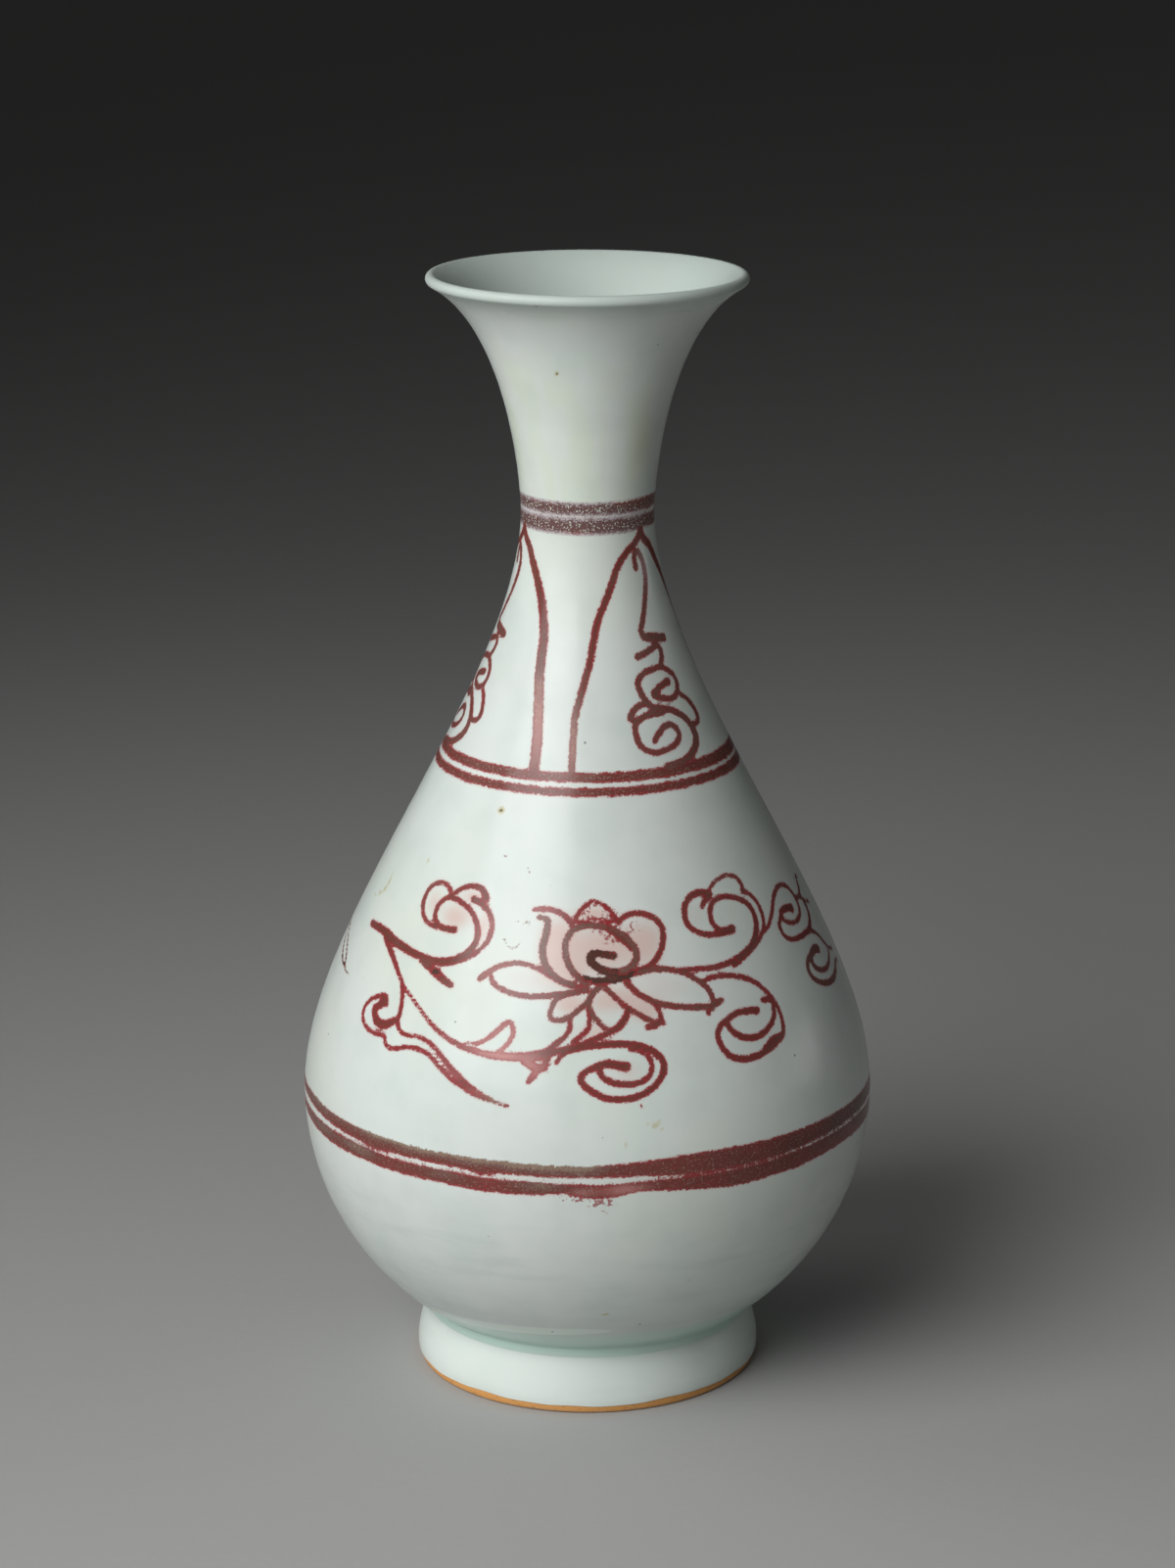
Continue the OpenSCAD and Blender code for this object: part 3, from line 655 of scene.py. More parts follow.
def smooth_line(points):
    """A smooth line through the points of a stroke."""
    ends = np.vstack((2 * points[0] - points[1], points, 2 * points[-1] - points[-2]))
    t = np.linspace(0, 1, SPAN_STEPS, endpoint=False)[:, None]
    spans = []
    for before, start, end, after in zip(ends, ends[1:], ends[2:], ends[3:]):
        spans.append(0.5 * (2 * start + (end - before) * t
                            + (2 * before - 5 * start + 4 * end - after) * t ** 2
                            + (3 * start - before - 3 * end + after) * t ** 3))
    return np.vstack((*spans, points[-1:]))


def paint_section(mesh, outer):
    """Paints the bands, lappets and lotus sprays on a section and keeps them as attributes."""
    canvas = Canvas(mesh, outer)
    for ring in NECK_RINGS + SHOULDER_RINGS + BELLY_RINGS:
        canvas.ring(ring)
    for repeat in range(LAPPET_REPEATS):
        for stroke in LAPPET:
            canvas.draw(stroke, 360 * repeat / LAPPET_REPEATS)
    for turn in (0, BACK_TURN):
        for stroke in SPRAY:
            canvas.draw(stroke, turn)
        for channel, blots in SPRAY_BLOTS.items():
            canvas.spots(channel, blots, turn)
    for stroke in TRAILING_LEAF + CURL_SPECK + SCRATCHES:
        canvas.draw(stroke)
    for channel, blots in SINGLE_BLOTS.items():
        canvas.spots(channel, blots)
    for name, values in canvas.paint.items():
        layer = mesh.attributes.new(name, "FLOAT", "POINT")
        layer.data.foreach_set("value", values.astype(np.float32))


# Points of the foot's rounded edge, of each curve of the outline and of the lip's rounding
EDGE_STEPS = 12
CURVE_STEPS = 160
LIP_STEPS = 24

# Gap between glaze and clay, shown points to each hidden one, and how near two points are one
HAIR = 0.05 * MM
HIDDEN_STRIDE = 5
MERGE = 0.001 * MM


def bezier(start, start_arm, end_arm, end):
    """Points of a cubic curve."""
    t = np.linspace(0, 1, CURVE_STEPS)[:, None]
    s = 1 - t
    start, start_arm, end_arm, end = (np.array(p, float) for p in (start, start_arm, end_arm, end))
    return s ** 3 * start + 3 * s ** 2 * t * start_arm + 3 * s * t ** 2 * end_arm + t ** 3 * end


def stretch(path, low, high):
    """Part of a rising path between two heights."""
    between = path[(path[:, 1] > low) & (path[:, 1] < high)]
    ends = [(np.interp(z, path[:, 1], path[:, 0]), z) for z in (low, high)]
    return np.vstack((ends[:1], between, ends[1:]))


def heading(path):
    """Unit direction at each point of a path."""
    step = np.gradient(path, axis=0)
    return step / np.hypot(*step.T)[:, None]


def inset(path, depth):
    """Path moved square to itself, to the left of its heading."""
    along = heading(path)
    moved = path + np.reshape(depth, (-1, 1)) * np.column_stack((-along[:, 1], along[:, 0]))
    return np.column_stack((np.maximum(moved[:, 0], 0), moved[:, 1]))


def evenly(path, spacing):
    """The same path with points about that far apart."""
    run = run_along(path)
    even = np.linspace(0, run[-1], max(3, math.ceil(run[-1] / spacing) + 1))
    return np.column_stack((np.interp(even, run, path[:, 0]), np.interp(even, run, path[:, 1])))


def lip_axes(s):
    """Middle of the lip's rounding, its outward direction and the direction in which it flares."""
    middle = np.array((s.mouth_r - s.lip_t / 2, s.top_z - s.lip_t / 2))
    outward = np.array((math.cos(s.lip_angle), -math.sin(s.lip_angle)))
    flare = np.array((math.sin(s.lip_angle), math.cos(s.lip_angle)))
    return middle, outward, flare


def outer_path(s):
    """Outside of the glaze, from its lower edge up to the start of the lip's rounding."""
    quarter = np.linspace(0, math.pi / 2, EDGE_STEPS)
    edge = np.column_stack((
        s.rim_r + (s.foot_r - s.rim_r) * np.sin(quarter),
        s.foot_edge_h * (1 - np.cos(quarter)),
    ))
    arm = (s.foot_h - s.foot_edge_h) / 3
    lean = arm * math.tan(s.foot_angle)
    wall = bezier(edge[-1], edge[-1] + (0, arm),
                  (s.foot_top_r + lean, s.foot_h - arm), (s.foot_top_r, s.foot_h))
    spring = np.array((math.sin(s.spring_angle), math.cos(s.spring_angle)))
    bowl = bezier(wall[-1], wall[-1] + s.spring_arm * spring,
                  (s.belly_r, s.belly_z - s.belly_lower_arm), (s.belly_r, s.belly_z))
    shoulder = bezier(bowl[-1], (s.belly_r, s.belly_z + s.belly_upper_arm),
                      (s.neck_r, s.neck_z - s.neck_lower_arm), (s.neck_r, s.neck_z))
    middle, outward, flare = lip_axes(s)
    lip_start = middle + outward * s.lip_t / 2
    mouth = bezier(shoulder[-1], (s.neck_r, s.neck_z + s.neck_upper_arm),
                   lip_start - s.lip_arm * flare, lip_start)
    foot = stretch(np.vstack((edge, wall[1:])), s.bare_h, s.foot_h - s.pool_h)
    body = np.vstack((bowl, shoulder[1:], mouth[1:]))
    body = stretch(body, s.foot_h + s.pool_h, body[-1, 1])
    pool = bezier(foot[-1], foot[-1] + s.pool_arm * heading(foot)[-1],
                  body[0] - s.pool_arm * heading(body)[0], body[0])
    return np.vstack((foot, pool[1:-1], body))


def lip_arc(s):
    """Rounded end of the lip, from the outside over the top to the inside."""
    middle, outward, flare = lip_axes(s)
    turn = np.linspace(0, math.pi, LIP_STEPS)[1:-1, None]
    return middle + s.lip_t / 2 * (np.cos(turn) * outward + np.sin(turn) * flare)


def inner_path(s, outer):
    """Inside of the glaze, from the middle of the floor up to the end of the lip's rounding."""
    upper = stretch(outer, s.belly_z, outer[-1, 1])
    lip_clay = s.lip_t - 2 * s.glaze_t
    wall_heights = (s.belly_z, s.neck_z, upper[-1, 1])
    wall = np.interp(upper[:, 1], wall_heights, (s.belly_wall, s.neck_wall, lip_clay))
    throat = inset(upper, wall + 2 * s.glaze_t)
    bowl_r = s.belly_r - s.belly_wall - 2 * s.glaze_t
    bowl = bezier((0, s.floor_z), (s.floor_arm, s.floor_z),
                  (bowl_r, s.belly_z - s.belly_lower_arm), (bowl_r, s.belly_z))
    path = np.vstack((bowl, throat[1:]))
    for seam in (s.belly_z, s.neck_z):
        share = np.clip((path[:, 1] - seam) / s.ridge_w + 0.5, 0, 1)
        path[:, 0] -= s.ridge_h * np.sin(math.pi * share)
    return path


def hand_thrown(mesh, s):
    """Gives a section the slight sway and rings of thrown clay, and the glaze its ragged lower edge."""
    places = points_of(mesh)
    x, y, z = places.T
    turn = np.arctan2(y, x)
    radius = np.hypot(x, y)
    height = z / MM
    # Both waves end at 0 or below, so the wall never strays outside its true outline
    sway = (np.sin(2 * turn + height / 60) + 0.5 * np.sin(3 * turn - height / 35) - 1.5) / 2
    rings = np.sin(height * 0.9 + 1.5 * np.sin(turn + height / 30))
    rings = rings + 0.6 * np.sin(height * 0.37 + turn) - 1.6
    fade = np.clip(radius / s.neck_r, 0, 1)
    moved = 1 + fade * (s.sway / 2 * sway + s.ring_h * rings) / np.maximum(radius, s.neck_r)
    places[:, 0] *= moved
    places[:, 1] *= moved
    ragged = np.sin(5 * turn) + 0.7 * np.sin(11 * turn + 1) + 0.4 * np.sin(23 * turn + 2)
    near_edge = np.clip((s.foot_edge_h - z) / (s.foot_edge_h - s.bare_h), 0, 1)
    places[:, 2] += s.ragged_h / 2 * near_edge * ragged
    mesh.vertices.foreach_set("co", places.ravel())
    mesh.update()


# Flat layout of a section: its name, how many strips it has, the margin round them, the height that
# the shown side takes, and how much of its own strip the hidden side fills
BAKE_MAP = "OFBake"
STRIPS = 2
MAP_MARGIN = 0.006
SHOWN_SHARE = 0.94
HIDDEN_FILL = 0.6


def unroll(mesh, along, shown_run, whole_run):
    """Lays a section flat: its shown side as half-turn strips, its hidden side in narrow strips above."""
    corner_points = np.empty(len(mesh.loops), int)
    mesh.loops.foreach_get("vertex_index", corner_points)
    counts = np.empty(len(mesh.polygons), int)
    mesh.polygons.foreach_get("loop_total", counts)
    starts = np.concatenate(([0], np.cumsum(counts)[:-1]))
    face_of = np.repeat(np.arange(len(counts)), counts)
    corner = points_of(mesh)[corner_points]
    middle = np.add.reduceat(corner, starts, axis=0)
    face_turn = np.degrees(np.arctan2(middle[:, 1], middle[:, 0]))[face_of] % 360
    turn = np.degrees(np.arctan2(corner[:, 1], corner[:, 0]))
    turn = face_turn + (turn - face_turn + 180) % 360 - 180
    turn = np.where(np.hypot(corner[:, 0], corner[:, 1]) < MERGE, face_turn, turn)
    strip_width = 360 / STRIPS
    strip = np.floor(face_turn / strip_width)
    run = along[corner_points]
    face_reach = np.maximum.reduceat(run, starts) - np.minimum.reduceat(run, starts)
    closing = (face_reach > whole_run / 2)[face_of]
    run = np.where(closing & (run == 0), whole_run, run)
    shown = (np.maximum.reduceat(run, starts) <= shown_run + MERGE)[face_of]
    shown_v = (strip + run / shown_run * (1 - 2 * MAP_MARGIN) + MAP_MARGIN) / STRIPS * SHOWN_SHARE
    hidden_share = (run - shown_run) / (whole_run - shown_run)
    hidden_place = strip + hidden_share * HIDDEN_FILL + (1 - HIDDEN_FILL) / 2
    hidden_v = SHOWN_SHARE + hidden_place / STRIPS * (1 - SHOWN_SHARE)
    u = MAP_MARGIN + (turn / strip_width - strip) * (1 - 2 * MAP_MARGIN)
    layer = mesh.uv_layers.new(name=BAKE_MAP)
    layer.data.foreach_set("uv", np.column_stack((u, np.where(shown, shown_v, hidden_v))).ravel())


def put(name, data):
    """Adds an object to the scene."""
    placed = bpy.data.objects.new(name, data)
    bpy.context.scene.collection.objects.link(placed)
    return placed


def coat(name, finish):
    """Gives one of the packed solids its finish."""
    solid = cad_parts[name]
    solid.data.materials.clear()
    solid.data.materials.append(finish)


# A section of the glaze: its shown path and how many columns of faces it has round the vase. One
# sector is turned first and then repeated.
Section = namedtuple("Section", "name shown columns")
SECTORS = 16
SHARP_ANGLE = math.radians(40)


def turn_section(section, s, outer):
    """Turns one closed section of the glaze from its shown path and adds it to the scene."""
    shown = section.shown
    depth = s.glaze_t * np.clip(shown[:, 1] / s.foot_edge_h, 0, 1) - HAIR
    under = inset(shown, depth)
    keep = sorted({*range(0, len(under), HIDDEN_STRIDE), len(under) - 1})
    chain = np.vstack((shown, under[keep][::-1]))
    runs = run_along(np.vstack((chain, chain[:1])))

    shell = bmesh.new()
    along = shell.verts.layers.float.new("along")
    points = []
    for (radius, height), run in zip(chain, runs):
        point = shell.verts.new((radius, 0.0, height))
        point[along] = run
        points.append(point)
    lines = []
    for start, end in zip(points, points[1:] + points[:1]):
        if max(start.co.x, end.co.x) > MERGE:
            lines.append(shell.edges.new((start, end)))
    sector = 2 * math.pi / SECTORS
    turned = {"cent": (0, 0, 0), "axis": (0, 0, 1)}
    bmesh.ops.spin(shell, geom=points + lines, angle=sector, steps=section.columns // SECTORS, **turned)
    whole_sector = shell.verts[:] + shell.edges[:] + shell.faces[:]
    bmesh.ops.spin(shell, geom=whole_sector, angle=sector * (SECTORS - 1), steps=SECTORS - 1,
                   use_duplicate=True, **turned)
    bmesh.ops.remove_doubles(shell, verts=shell.verts, dist=MERGE)
    bmesh.ops.recalc_face_normals(shell, faces=shell.faces)
    mesh = bpy.data.meshes.new(section.name)
    shell.to_mesh(mesh)
    shell.free()

    along_values = np.empty(len(mesh.vertices), np.float32)
    mesh.attributes["along"].data.foreach_get("value", along_values)
    mesh.attributes.remove(mesh.attributes["along"])
    unroll(mesh, along_values, runs[len(shown) - 1], runs[-1])
    paint_section(mesh, outer)
    hand_thrown(mesh, s)
    mesh.shade_smooth()
    mesh.set_sharp_from_angle(angle=SHARP_ANGLE)
    piece = put(section.name, mesh)
    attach(piece, "root")
    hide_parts("glaze_coat")
    return piece


class Wire:
    """The output of a node, which can stand in a sum."""

    def __init__(self, finish, socket):
        self.finish = finish
        self.socket = socket

    def sum(self, operation, first, second):
        """One step of arithmetic on two values."""
        return self.finish.node("ShaderNodeMath", {"operation": operation}, {0: first, 1: second})

    def __add__(self, other):
        return self.sum("ADD", self, other)

    __radd__ = __add__

    def __sub__(self, other):
        return self.sum("SUBTRACT", self, other)

    def __rsub__(self, other):
        return self.sum("SUBTRACT", other, self)

    def __mul__(self, other):
        return self.sum("MULTIPLY", self, other)

    __rmul__ = __mul__


class Finish:
    """A material whose nodes are written as sums of wires."""

    def __init__(self, name):
        self.material = bpy.data.materials.new(name)
        self.material.use_nodes = True
        self.tree = self.material.node_tree
        self.tree.nodes.clear()
        self.place = self.node("ShaderNodeTexCoord", output="Object")

    def node(self, kind, settings=None, sockets=None, output=0):
        """Adds a node, sets it up, feeds its sockets and returns one of its outputs."""
        made = self.tree.nodes.new(kind)
        for name, value in (settings or {}).items():
            setattr(made, name, value)
        for name, value in (sockets or {}).items():
            socket = made.inputs[name]
            if isinstance(value, Wire):
                self.tree.links.new(value.socket, socket)
            elif socket.type == "RGBA":
                socket.default_value = (*value, 1.0)
            else:
                socket.default_value = value
        return Wire(self, made.outputs[output]) if made.outputs else None

    def height(self):
        """Height above the floor, in millimetres."""
        return self.node("ShaderNodeSeparateXYZ", None, {0: self.place}, "Z") * (1 / MM)

    def noise(self, size, detail=2.0, place=None):
        """Cloudy noise with features of about that size in metres."""
        sockets = {"Vector": place or self.place, "Scale": 1 / size, "Detail": detail}
        return self.node("ShaderNodeTexNoise", None, sockets)

    def stretched(self, times):
        """Place on the piece, with its height taken that many times."""
        sockets = {0: self.place, 1: (1, 1, times)}
        return self.node("ShaderNodeVectorMath", {"operation": "MULTIPLY"}, sockets)

    def dots(self, spacing):
        """Distance from scattered points, in shares of their spacing in metres."""
        return self.node("ShaderNodeTexVoronoi", None, {"Vector": self.place, "Scale": 1 / spacing})

    def held(self, name):
        """A value painted on the piece."""
        return self.node("ShaderNodeAttribute", {"attribute_name": name}, None, "Fac")

    def step(self, value, low, high):
        """Smooth rise from 0 at low to 1 at high."""
        sockets = {"Value": value, "From Min": low, "From Max": high}
        return self.node("ShaderNodeMapRange", {"interpolation_type": "SMOOTHSTEP"}, sockets)

    def mix(self, share, first, second):
        """Blend of two colours."""
        return self.node("ShaderNodeMix", {"data_type": "RGBA"}, {0: share, 6: first, 7: second}, 2)

    def bump(self, height, strength, distance):
        """Surface normal of a small relief."""
        sockets = {"Height": height, "Strength": strength, "Distance": distance}
        return self.node("ShaderNodeBump", None, sockets)

    def surface(self, sockets):
        """Ends the material in one surface shader."""
        shader = self.node("ShaderNodeBsdfPrincipled", None, sockets)
        self.node("ShaderNodeOutputMaterial", None, {"Surface": shader})
        return self.material


# Heights in millimetres between which the glaze and the bare rim change
NECK_STARTS = (212, 226)
NECK_ENDS = (240, 266)
LIP_STARTS = (263, 268.5)
BODY_STARTS = (25, 70)
LOW_BODY_ENDS = (50, 66)
POOL_STARTS = (13.8, 15.8)
# Top of the pool's painted reflection on the belly's underside
POOL_REFLECTION_ENDS = (23, 27)
FOOT_ENDS = (11, 15)
# Below these heights the bare rim is painted dark as its shadow on the floor
CONTACT_SHADOW_ENDS = (0.4, 1.0)


def painted_glaze(glaze, paint):
    """Blue-tinged white glaze over copper-red brushwork, with its pooling, pits and kiln stains."""
    f = Finish("painted_glaze")
    height = f.height()
    cloud = f.noise(60 * MM)
    mottle = f.noise(7 * MM, 3.0)
    frill = f.noise(1.6 * MM)
    grain = f.noise(0.45 * MM)

    neck = f.step(height, *NECK_STARTS) * (1 - f.step(height, *NECK_ENDS))
    streaks = f.noise(6 * MM, 3.0, f.stretched(0.12))
    warmth = f.step(cloud, 0.42, 0.68) * f.step(height, *BODY_STARTS) * 0.5
    warmth = warmth + neck * f.step(streaks, 0.35, 0.65) * 0.75
    ground = f.mix(f.step(warmth, 0, 1), glaze.cool, glaze.warm)
    # Inside the mouth the glaze is painted darker as the shade of the hollow, and over the lip it is darker
    # too
    inner = f.held("inner")
    lip = f.step(height, *LIP_STARTS)
    mouth = lip + inner - lip * inner
    ground = f.mix(mouth, ground, glaze.inner)
    ground = f.mix(f.step(f.noise(24 * MM, 3.0), 0.42, 0.7) * 0.15, ground, glaze.thick)
    ground = f.mix(f.step(f.noise(11 * MM, 4.0), 0.4, 0.75) * 0.3, ground, glaze.inner)
    wheel = f.noise(24 * MM, 3.0, f.stretched(6))
    wheel_marks = f.step(wheel, 0.5, 0.75) * (1 - f.step(height, *LOW_BODY_ENDS))
    ground = f.mix(wheel_marks * 0.4, ground, glaze.inner)
    # Green of glaze pooled at the foot joint, carried on up the belly's underside as the pool's painted
    # reflection
    pool_and_reflection = f.step(height + mottle * 1.5, *POOL_STARTS) * (1 - f.step(height + mottle * 3, *POOL_REFLECTION_ENDS))
    # The foot wall below the pool is painted paler
    ground = f.mix((1 - f.step(height, *FOOT_ENDS)) * 0.5, ground, glaze.roll)
    ground = f.mix(pool_and_reflection * 0.9, ground, glaze.thick)
    # Painted reflection of the foot wall: a pale strip above the pool
    ground = f.mix(f.step(f.held("roll"), 0.45, 0.6) * 0.8, ground, glaze.roll)

    edge = f.held("ink") - INK_REACH - INK_TRIM
    speckled = f.held("specks")
    soft = f.step(speckled, 0.5, 0.9)
    ink = edge + (grain - 0.5) * (speckled * 1.2 + 1.0)
    ink = ink + (frill - 0.5) * (f.step(speckled, 0.05, 0.2) * 0.5 + 0.5)
    cover = f.step(ink, -0.35 - soft * 0.35, 0.05 + soft * 0.45)
    core = f.step(edge + (grain - 0.5) * 0.9, 0.05, 0.5)
    tone = f.held("tone") + (mottle - 0.5) * 0.8 + (grain - 0.5) * 1.2
    pigment = f.mix(core * f.step(tone, -0.3, 0.3), paint.crimson, paint.maroon)
    pigment = f.mix((core * 0.5 + 0.5) * f.step(tone, 0.35, 0.85), pigment, paint.umber)
    pigment = f.mix(f.step(tone, 0.95, 1.3), pigment, paint.olive)
    pigment = f.mix(f.step(0 - tone, 0.5, 0.85), pigment, paint.brown)
    pigment = f.mix(f.step(f.held("dark") + (mottle - 0.5) * 0.4, 0.0, 1.0), pigment, paint.brown)
    pigment = f.mix(soft * f.step(mottle, 0.3, 0.5), pigment, paint.ash)
    # Strokes turn rose where the paint is thin and where the glaze's highlight is painted over them
    thin = f.step(f.held("thin") + (mottle - 0.5) * 0.5, 0, 1)
    pigment = f.mix((core * 0.5 + 0.5) * thin * 0.75, pigment, paint.rose)
    wash = f.step(f.held("wash") + (mottle - 0.5) * 0.3, 0.05, 1.2)
    dry = f.held("dry")
    flecks = f.step(f.noise(0.8 * MM, 3.0) + dry * 0.2, 0.6, 0.7) * f.step(dry, 0.05, 0.4)
    coloured = f.mix(wash * 0.9, ground, paint.blush)
    halo = f.step(edge, -0.8, 0.1) * (1 - f.step(tone, 0.95, 1.3)) * 0.3
    coloured = f.mix(halo, coloured, f.mix(soft, paint.rose, paint.lilac))
    coloured = f.mix(soft * f.step(edge, -0.9, -0.1) * 0.8, coloured, paint.lilac)
    coloured = f.mix(flecks * 0.8, coloured, paint.crimson)
    coloured = f.mix(cover * 0.98, coloured, pigment)
    specks = f.step(f.noise(0.4 * MM, 1.0), 0.61, 0.65) * speckled * cover
    coloured = f.mix(specks * 0.85, coloured, glaze.warm)

    stain = f.held("stain") + (mottle - 0.5) * 0.2
    coloured = f.mix(f.step(stain, 0.12, 0.7) * 0.7, coloured, glaze.stain)
    pits = 1 - f.step(f.dots(9 * MM), 0.02, 0.045)
    coloured = f.mix(f.step(stain, 0.9, 1.4) * 0.9, coloured, glaze.pit)
    coloured = f.mix(pits * 0.7, coloured, glaze.pit)

    relief = f.noise(5 * MM, 1.0) + grain * cover * 0.15 - pits * 2
    return f.surface({
        "Base Color": coloured,
        "Roughness": (mottle - 0.5) * 0.12 + specks * 0.15 + mouth * 0.2 + glaze.roughness,
        "Specular IOR Level": glaze.gloss,
        "Normal": f.bump(relief, 0.12, 0.25 * MM),
    })


def bare_clay(name, clay, body, flush_starts):
    """Fired clay with specks, burnt orange towards the edge of the glaze, and painted dark along its lowest
    edge as the shadow where it stands.
    """
    f = Finish(name)
    height = f.height()
    speckle = f.noise(0.7 * MM)
    patch = f.noise(9 * MM)
    flush = f.step(height + (patch - 0.5) * 2, *flush_starts)
    shade = f.mix(f.step(patch, 0.3, 0.75) * 0.35, body, clay.burnt)
    shade = f.mix(flush, shade, clay.burnt)
    # Painted shadow along the lowest edge of the rim, where it stands on the floor
    shade = f.mix((1 - f.step(height + patch * 0.6, *CONTACT_SHADOW_ENDS)) * 0.8, shade, clay.grit_and_shadow)
    shade = f.mix(f.step(speckle, 0.6, 0.72) * 0.55, shade, clay.grit_and_shadow)
    return f.surface({
        "Base Color": shade,
        "Roughness": 0.7 + (speckle - 0.5) * 0.3,
        "Normal": f.bump(speckle + patch * 0.4, 0.5, 0.2 * MM),
    })


def paper_floor(tint, fibre):
    """Matt pale paper."""
    f = Finish("paper_floor")
    pulp = f.noise(2 * MM, 3.0)
    return f.surface({
        "Base Color": f.mix(pulp * 0.12, tint, fibre),
        "Roughness": 0.75 + pulp * 0.2,
        "Normal": f.bump(pulp, 0.1, 0.1 * MM),
    })


# Heights at which the glaze is parted into sections, each in the gap of a pair of painted lines,
# and how far apart their points lie where the surface is painted, in the throat and in the bowl
PARTINGS = (70.6 * MM, 155.4 * MM, 215 * MM)
PAINTED_SPACING = 0.75 * MM
THROAT_SPACING = 1.5 * MM
BOWL_SPACING = 2 * MM


class VASE_OT_glaze(bpy.types.Operator):
    """Turns the sections of the glaze, paints them and gives them their finish"""

    bl_idname = "vase.glaze"
    bl_label = "Painted glaze"

    def execute(self, context):
        s = context.scene.vase_outline
        outer = outer_path(s)
        inner = inner_path(s, outer)
        cuts = (s.bare_h, *PARTINGS, outer[-1, 1])
        parts = [stretch(outer, low, high) for low, high in zip(cuts, cuts[1:])]
        foot, belly, shoulder, neck = (evenly(part, PAINTED_SPACING) for part in parts)
        shoulder_line = PARTINGS[1]
        throat = evenly(stretch(inner, shoulder_line, inner[-1, 1]), THROAT_SPACING)[::-1]
        bowl = evenly(stretch(inner, s.floor_z, shoulder_line), BOWL_SPACING)[::-1]
        sections = (
            Section("glaze_foot", foot, 320),
            Section("glaze_belly", belly, 640),
            Section("glaze_shoulder", shoulder, 448),
            Section("glaze_mouth", np.vstack((neck, lip_arc(s), throat)), 288),
            Section("glaze_inside", bowl, 192),
        )
        finish = painted_glaze(context.scene.vase_glaze, context.scene.vase_paint)
        for section in sections:
            piece = turn_section(section, s, outer)
            piece.data.materials.append(finish)
        coat("base_glaze", finish)
        return {"FINISHED"}


class VASE_OT_clay(bpy.types.Operator):
    """Gives the foot, the walls and the slip seams their fired clay"""

    bl_idname = "vase.clay"
    bl_label = "Clay"

    def execute(self, context):
        clay = context.scene.vase_clay
        s = context.scene.vase_outline
        above_vase = (s.top_z / MM, 2 * s.top_z / MM)
        rim = bare_clay("rim_clay", clay, clay.pale, (-2, s.bare_h / 2 / MM))
        wall = bare_clay("wall_clay", clay, clay.pale, above_vase)
        slip = bare_clay("seam_slip", clay, clay.slip, above_vase)
        finishes = {
            "foot_ring": rim,
            "lower_body": wall,
            "upper_body": wall,
            "neck_and_mouth": wall,
            "foot_luting": slip,
            "belly_luting": slip,
            "neck_luting": slip,
        }
        for name, finish in finishes.items():
            coat(name, finish)
        return {"FINISHED"}


# Soft lights: turn from the front and rise in degrees, distance from the middle of the vase, width,
# height and aim in metres, and spread in degrees. Each has its power in the studio's properties.
Lamp = namedtuple("Lamp", "name turn rise distance width height aim spread")
LAMPS = (
    Lamp("key_light", -30, 32, 1.15, 0.55, 0.5, (0, 0, 0.09), 92),
    Lamp("key_frame", -33, 28, 1.15, 1.15, 0.8, (0.42, -0.34, 0), 120),
    Lamp("right_light", 104, 50, 1.0, 0.6, 0.5, (0.05, 0, 0.1), 92),
    Lamp("right_card", 100, 2.1, 4.2, 1.6, 0.56, (0, 0, 0.04), 92),
    Lamp("left_light", -102, 32, 1.1, 1.2, 0.5, (0, 0, 0.14), 50),
)


def hang_lamp(lamp, watts):
    """Hangs a soft light round the vase."""
    turn = math.radians(lamp.turn)
    rise = math.radians(lamp.rise)
    light = bpy.data.lights.new(lamp.name, "AREA")
    light.shape = "RECTANGLE"
    light.size = lamp.width
    light.size_y = lamp.height
    light.energy = watts
    light.spread = math.radians(lamp.spread)
    offset = lamp.distance * Vector((
        math.cos(rise) * math.sin(turn),
        -math.cos(rise) * math.cos(turn),
        math.sin(rise),
    ))
    hung = put(lamp.name, light)
    hung.location = (cad_box[0] + cad_box[1]) / 2 + offset
    hung.rotation_euler = (Vector(lamp.aim) - hung.location).to_track_quat("-Z", "Y").to_euler()


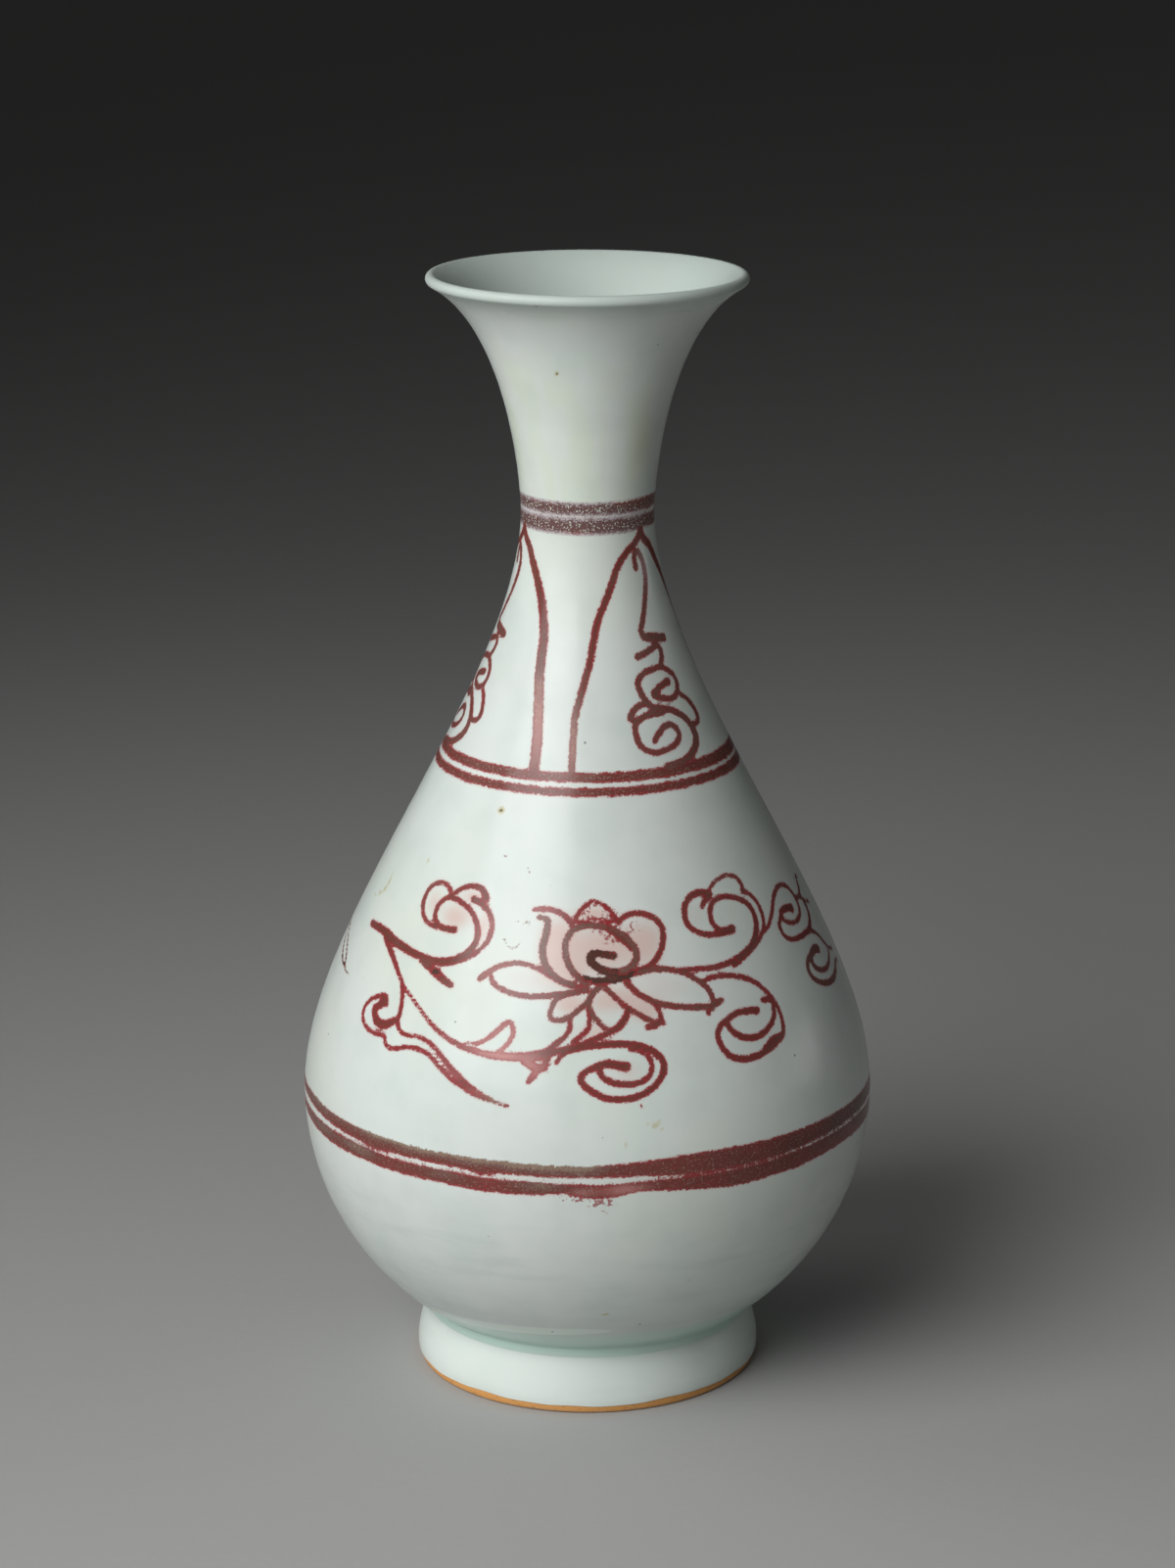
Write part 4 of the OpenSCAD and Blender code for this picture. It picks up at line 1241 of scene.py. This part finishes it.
class VASE_OT_studio(bpy.types.Operator):
    """Lays the floor and sets up the light and the camera"""

    bl_idname = "vase.studio"
    bl_label = "Studio"

    def execute(self, context):
        studio = context.scene.vase_studio
        scene = context.scene
        sheet = bmesh.new()
        bmesh.ops.create_grid(sheet, x_segments=8, y_segments=8, size=studio.floor_size / 2)
        mesh = bpy.data.meshes.new("floor")
        sheet.to_mesh(mesh)
        sheet.free()
        mesh.materials.append(paper_floor(studio.floor, studio.fibre))
        floor = put("floor", mesh)

        for lamp in LAMPS:
            hang_lamp(lamp, getattr(studio, lamp.name))

        world = bpy.data.worlds.new("studio")
        world.use_nodes = True
        backdrop = world.node_tree.nodes["Background"]
        backdrop.inputs["Color"].default_value = (1.0, 1.0, 1.0, 1.0)
        backdrop.inputs["Strength"].default_value = studio.ambient
        scene.world = world
        scene.view_settings.view_transform = "Standard"

        lens = bpy.data.cameras.new("camera")
        lens.lens = studio.camera_lens
        camera = put("camera", lens)
        camera.location = (0.0, -studio.camera_back, studio.camera_up)
        camera.rotation_euler = (math.pi / 2 - studio.camera_pitch, 0.0, 0.0)
        scene.camera = camera
        return {"FINISHED"}


OPERATORS = (VASE_OT_glaze, VASE_OT_clay, VASE_OT_studio)


class VASE_PT_panel(bpy.types.Panel):
    """Lists the steps and their sizes and colours"""

    bl_idname = "VASE_PT_panel"
    bl_label = "Bottle vase"
    bl_space_type = "VIEW_3D"
    bl_region_type = "UI"
    bl_category = "Vase"

    def draw(self, context):
        for operator in OPERATORS:
            self.layout.operator(operator.bl_idname)
        for name, group in GROUPS.items():
            box = self.layout.box()
            box.label(text=group.__doc__)
            for prop in group.__annotations__:
                box.prop(getattr(context.scene, name), prop)


def register():
    for name, group in GROUPS.items():
        bpy.utils.register_class(group)
        setattr(bpy.types.Scene, name, PointerProperty(type=group))
    for made in (*OPERATORS, VASE_PT_panel):
        bpy.utils.register_class(made)


def unregister():
    for made in (VASE_PT_panel, *reversed(OPERATORS)):
        bpy.utils.unregister_class(made)
    for name, group in GROUPS.items():
        delattr(bpy.types.Scene, name)
        bpy.utils.unregister_class(group)


def main():
    """Makes the vase and its studio."""
    register()
    bpy.ops.vase.glaze()
    bpy.ops.vase.clay()
    bpy.ops.vase.studio()


if __name__ == "__main__":
    main()
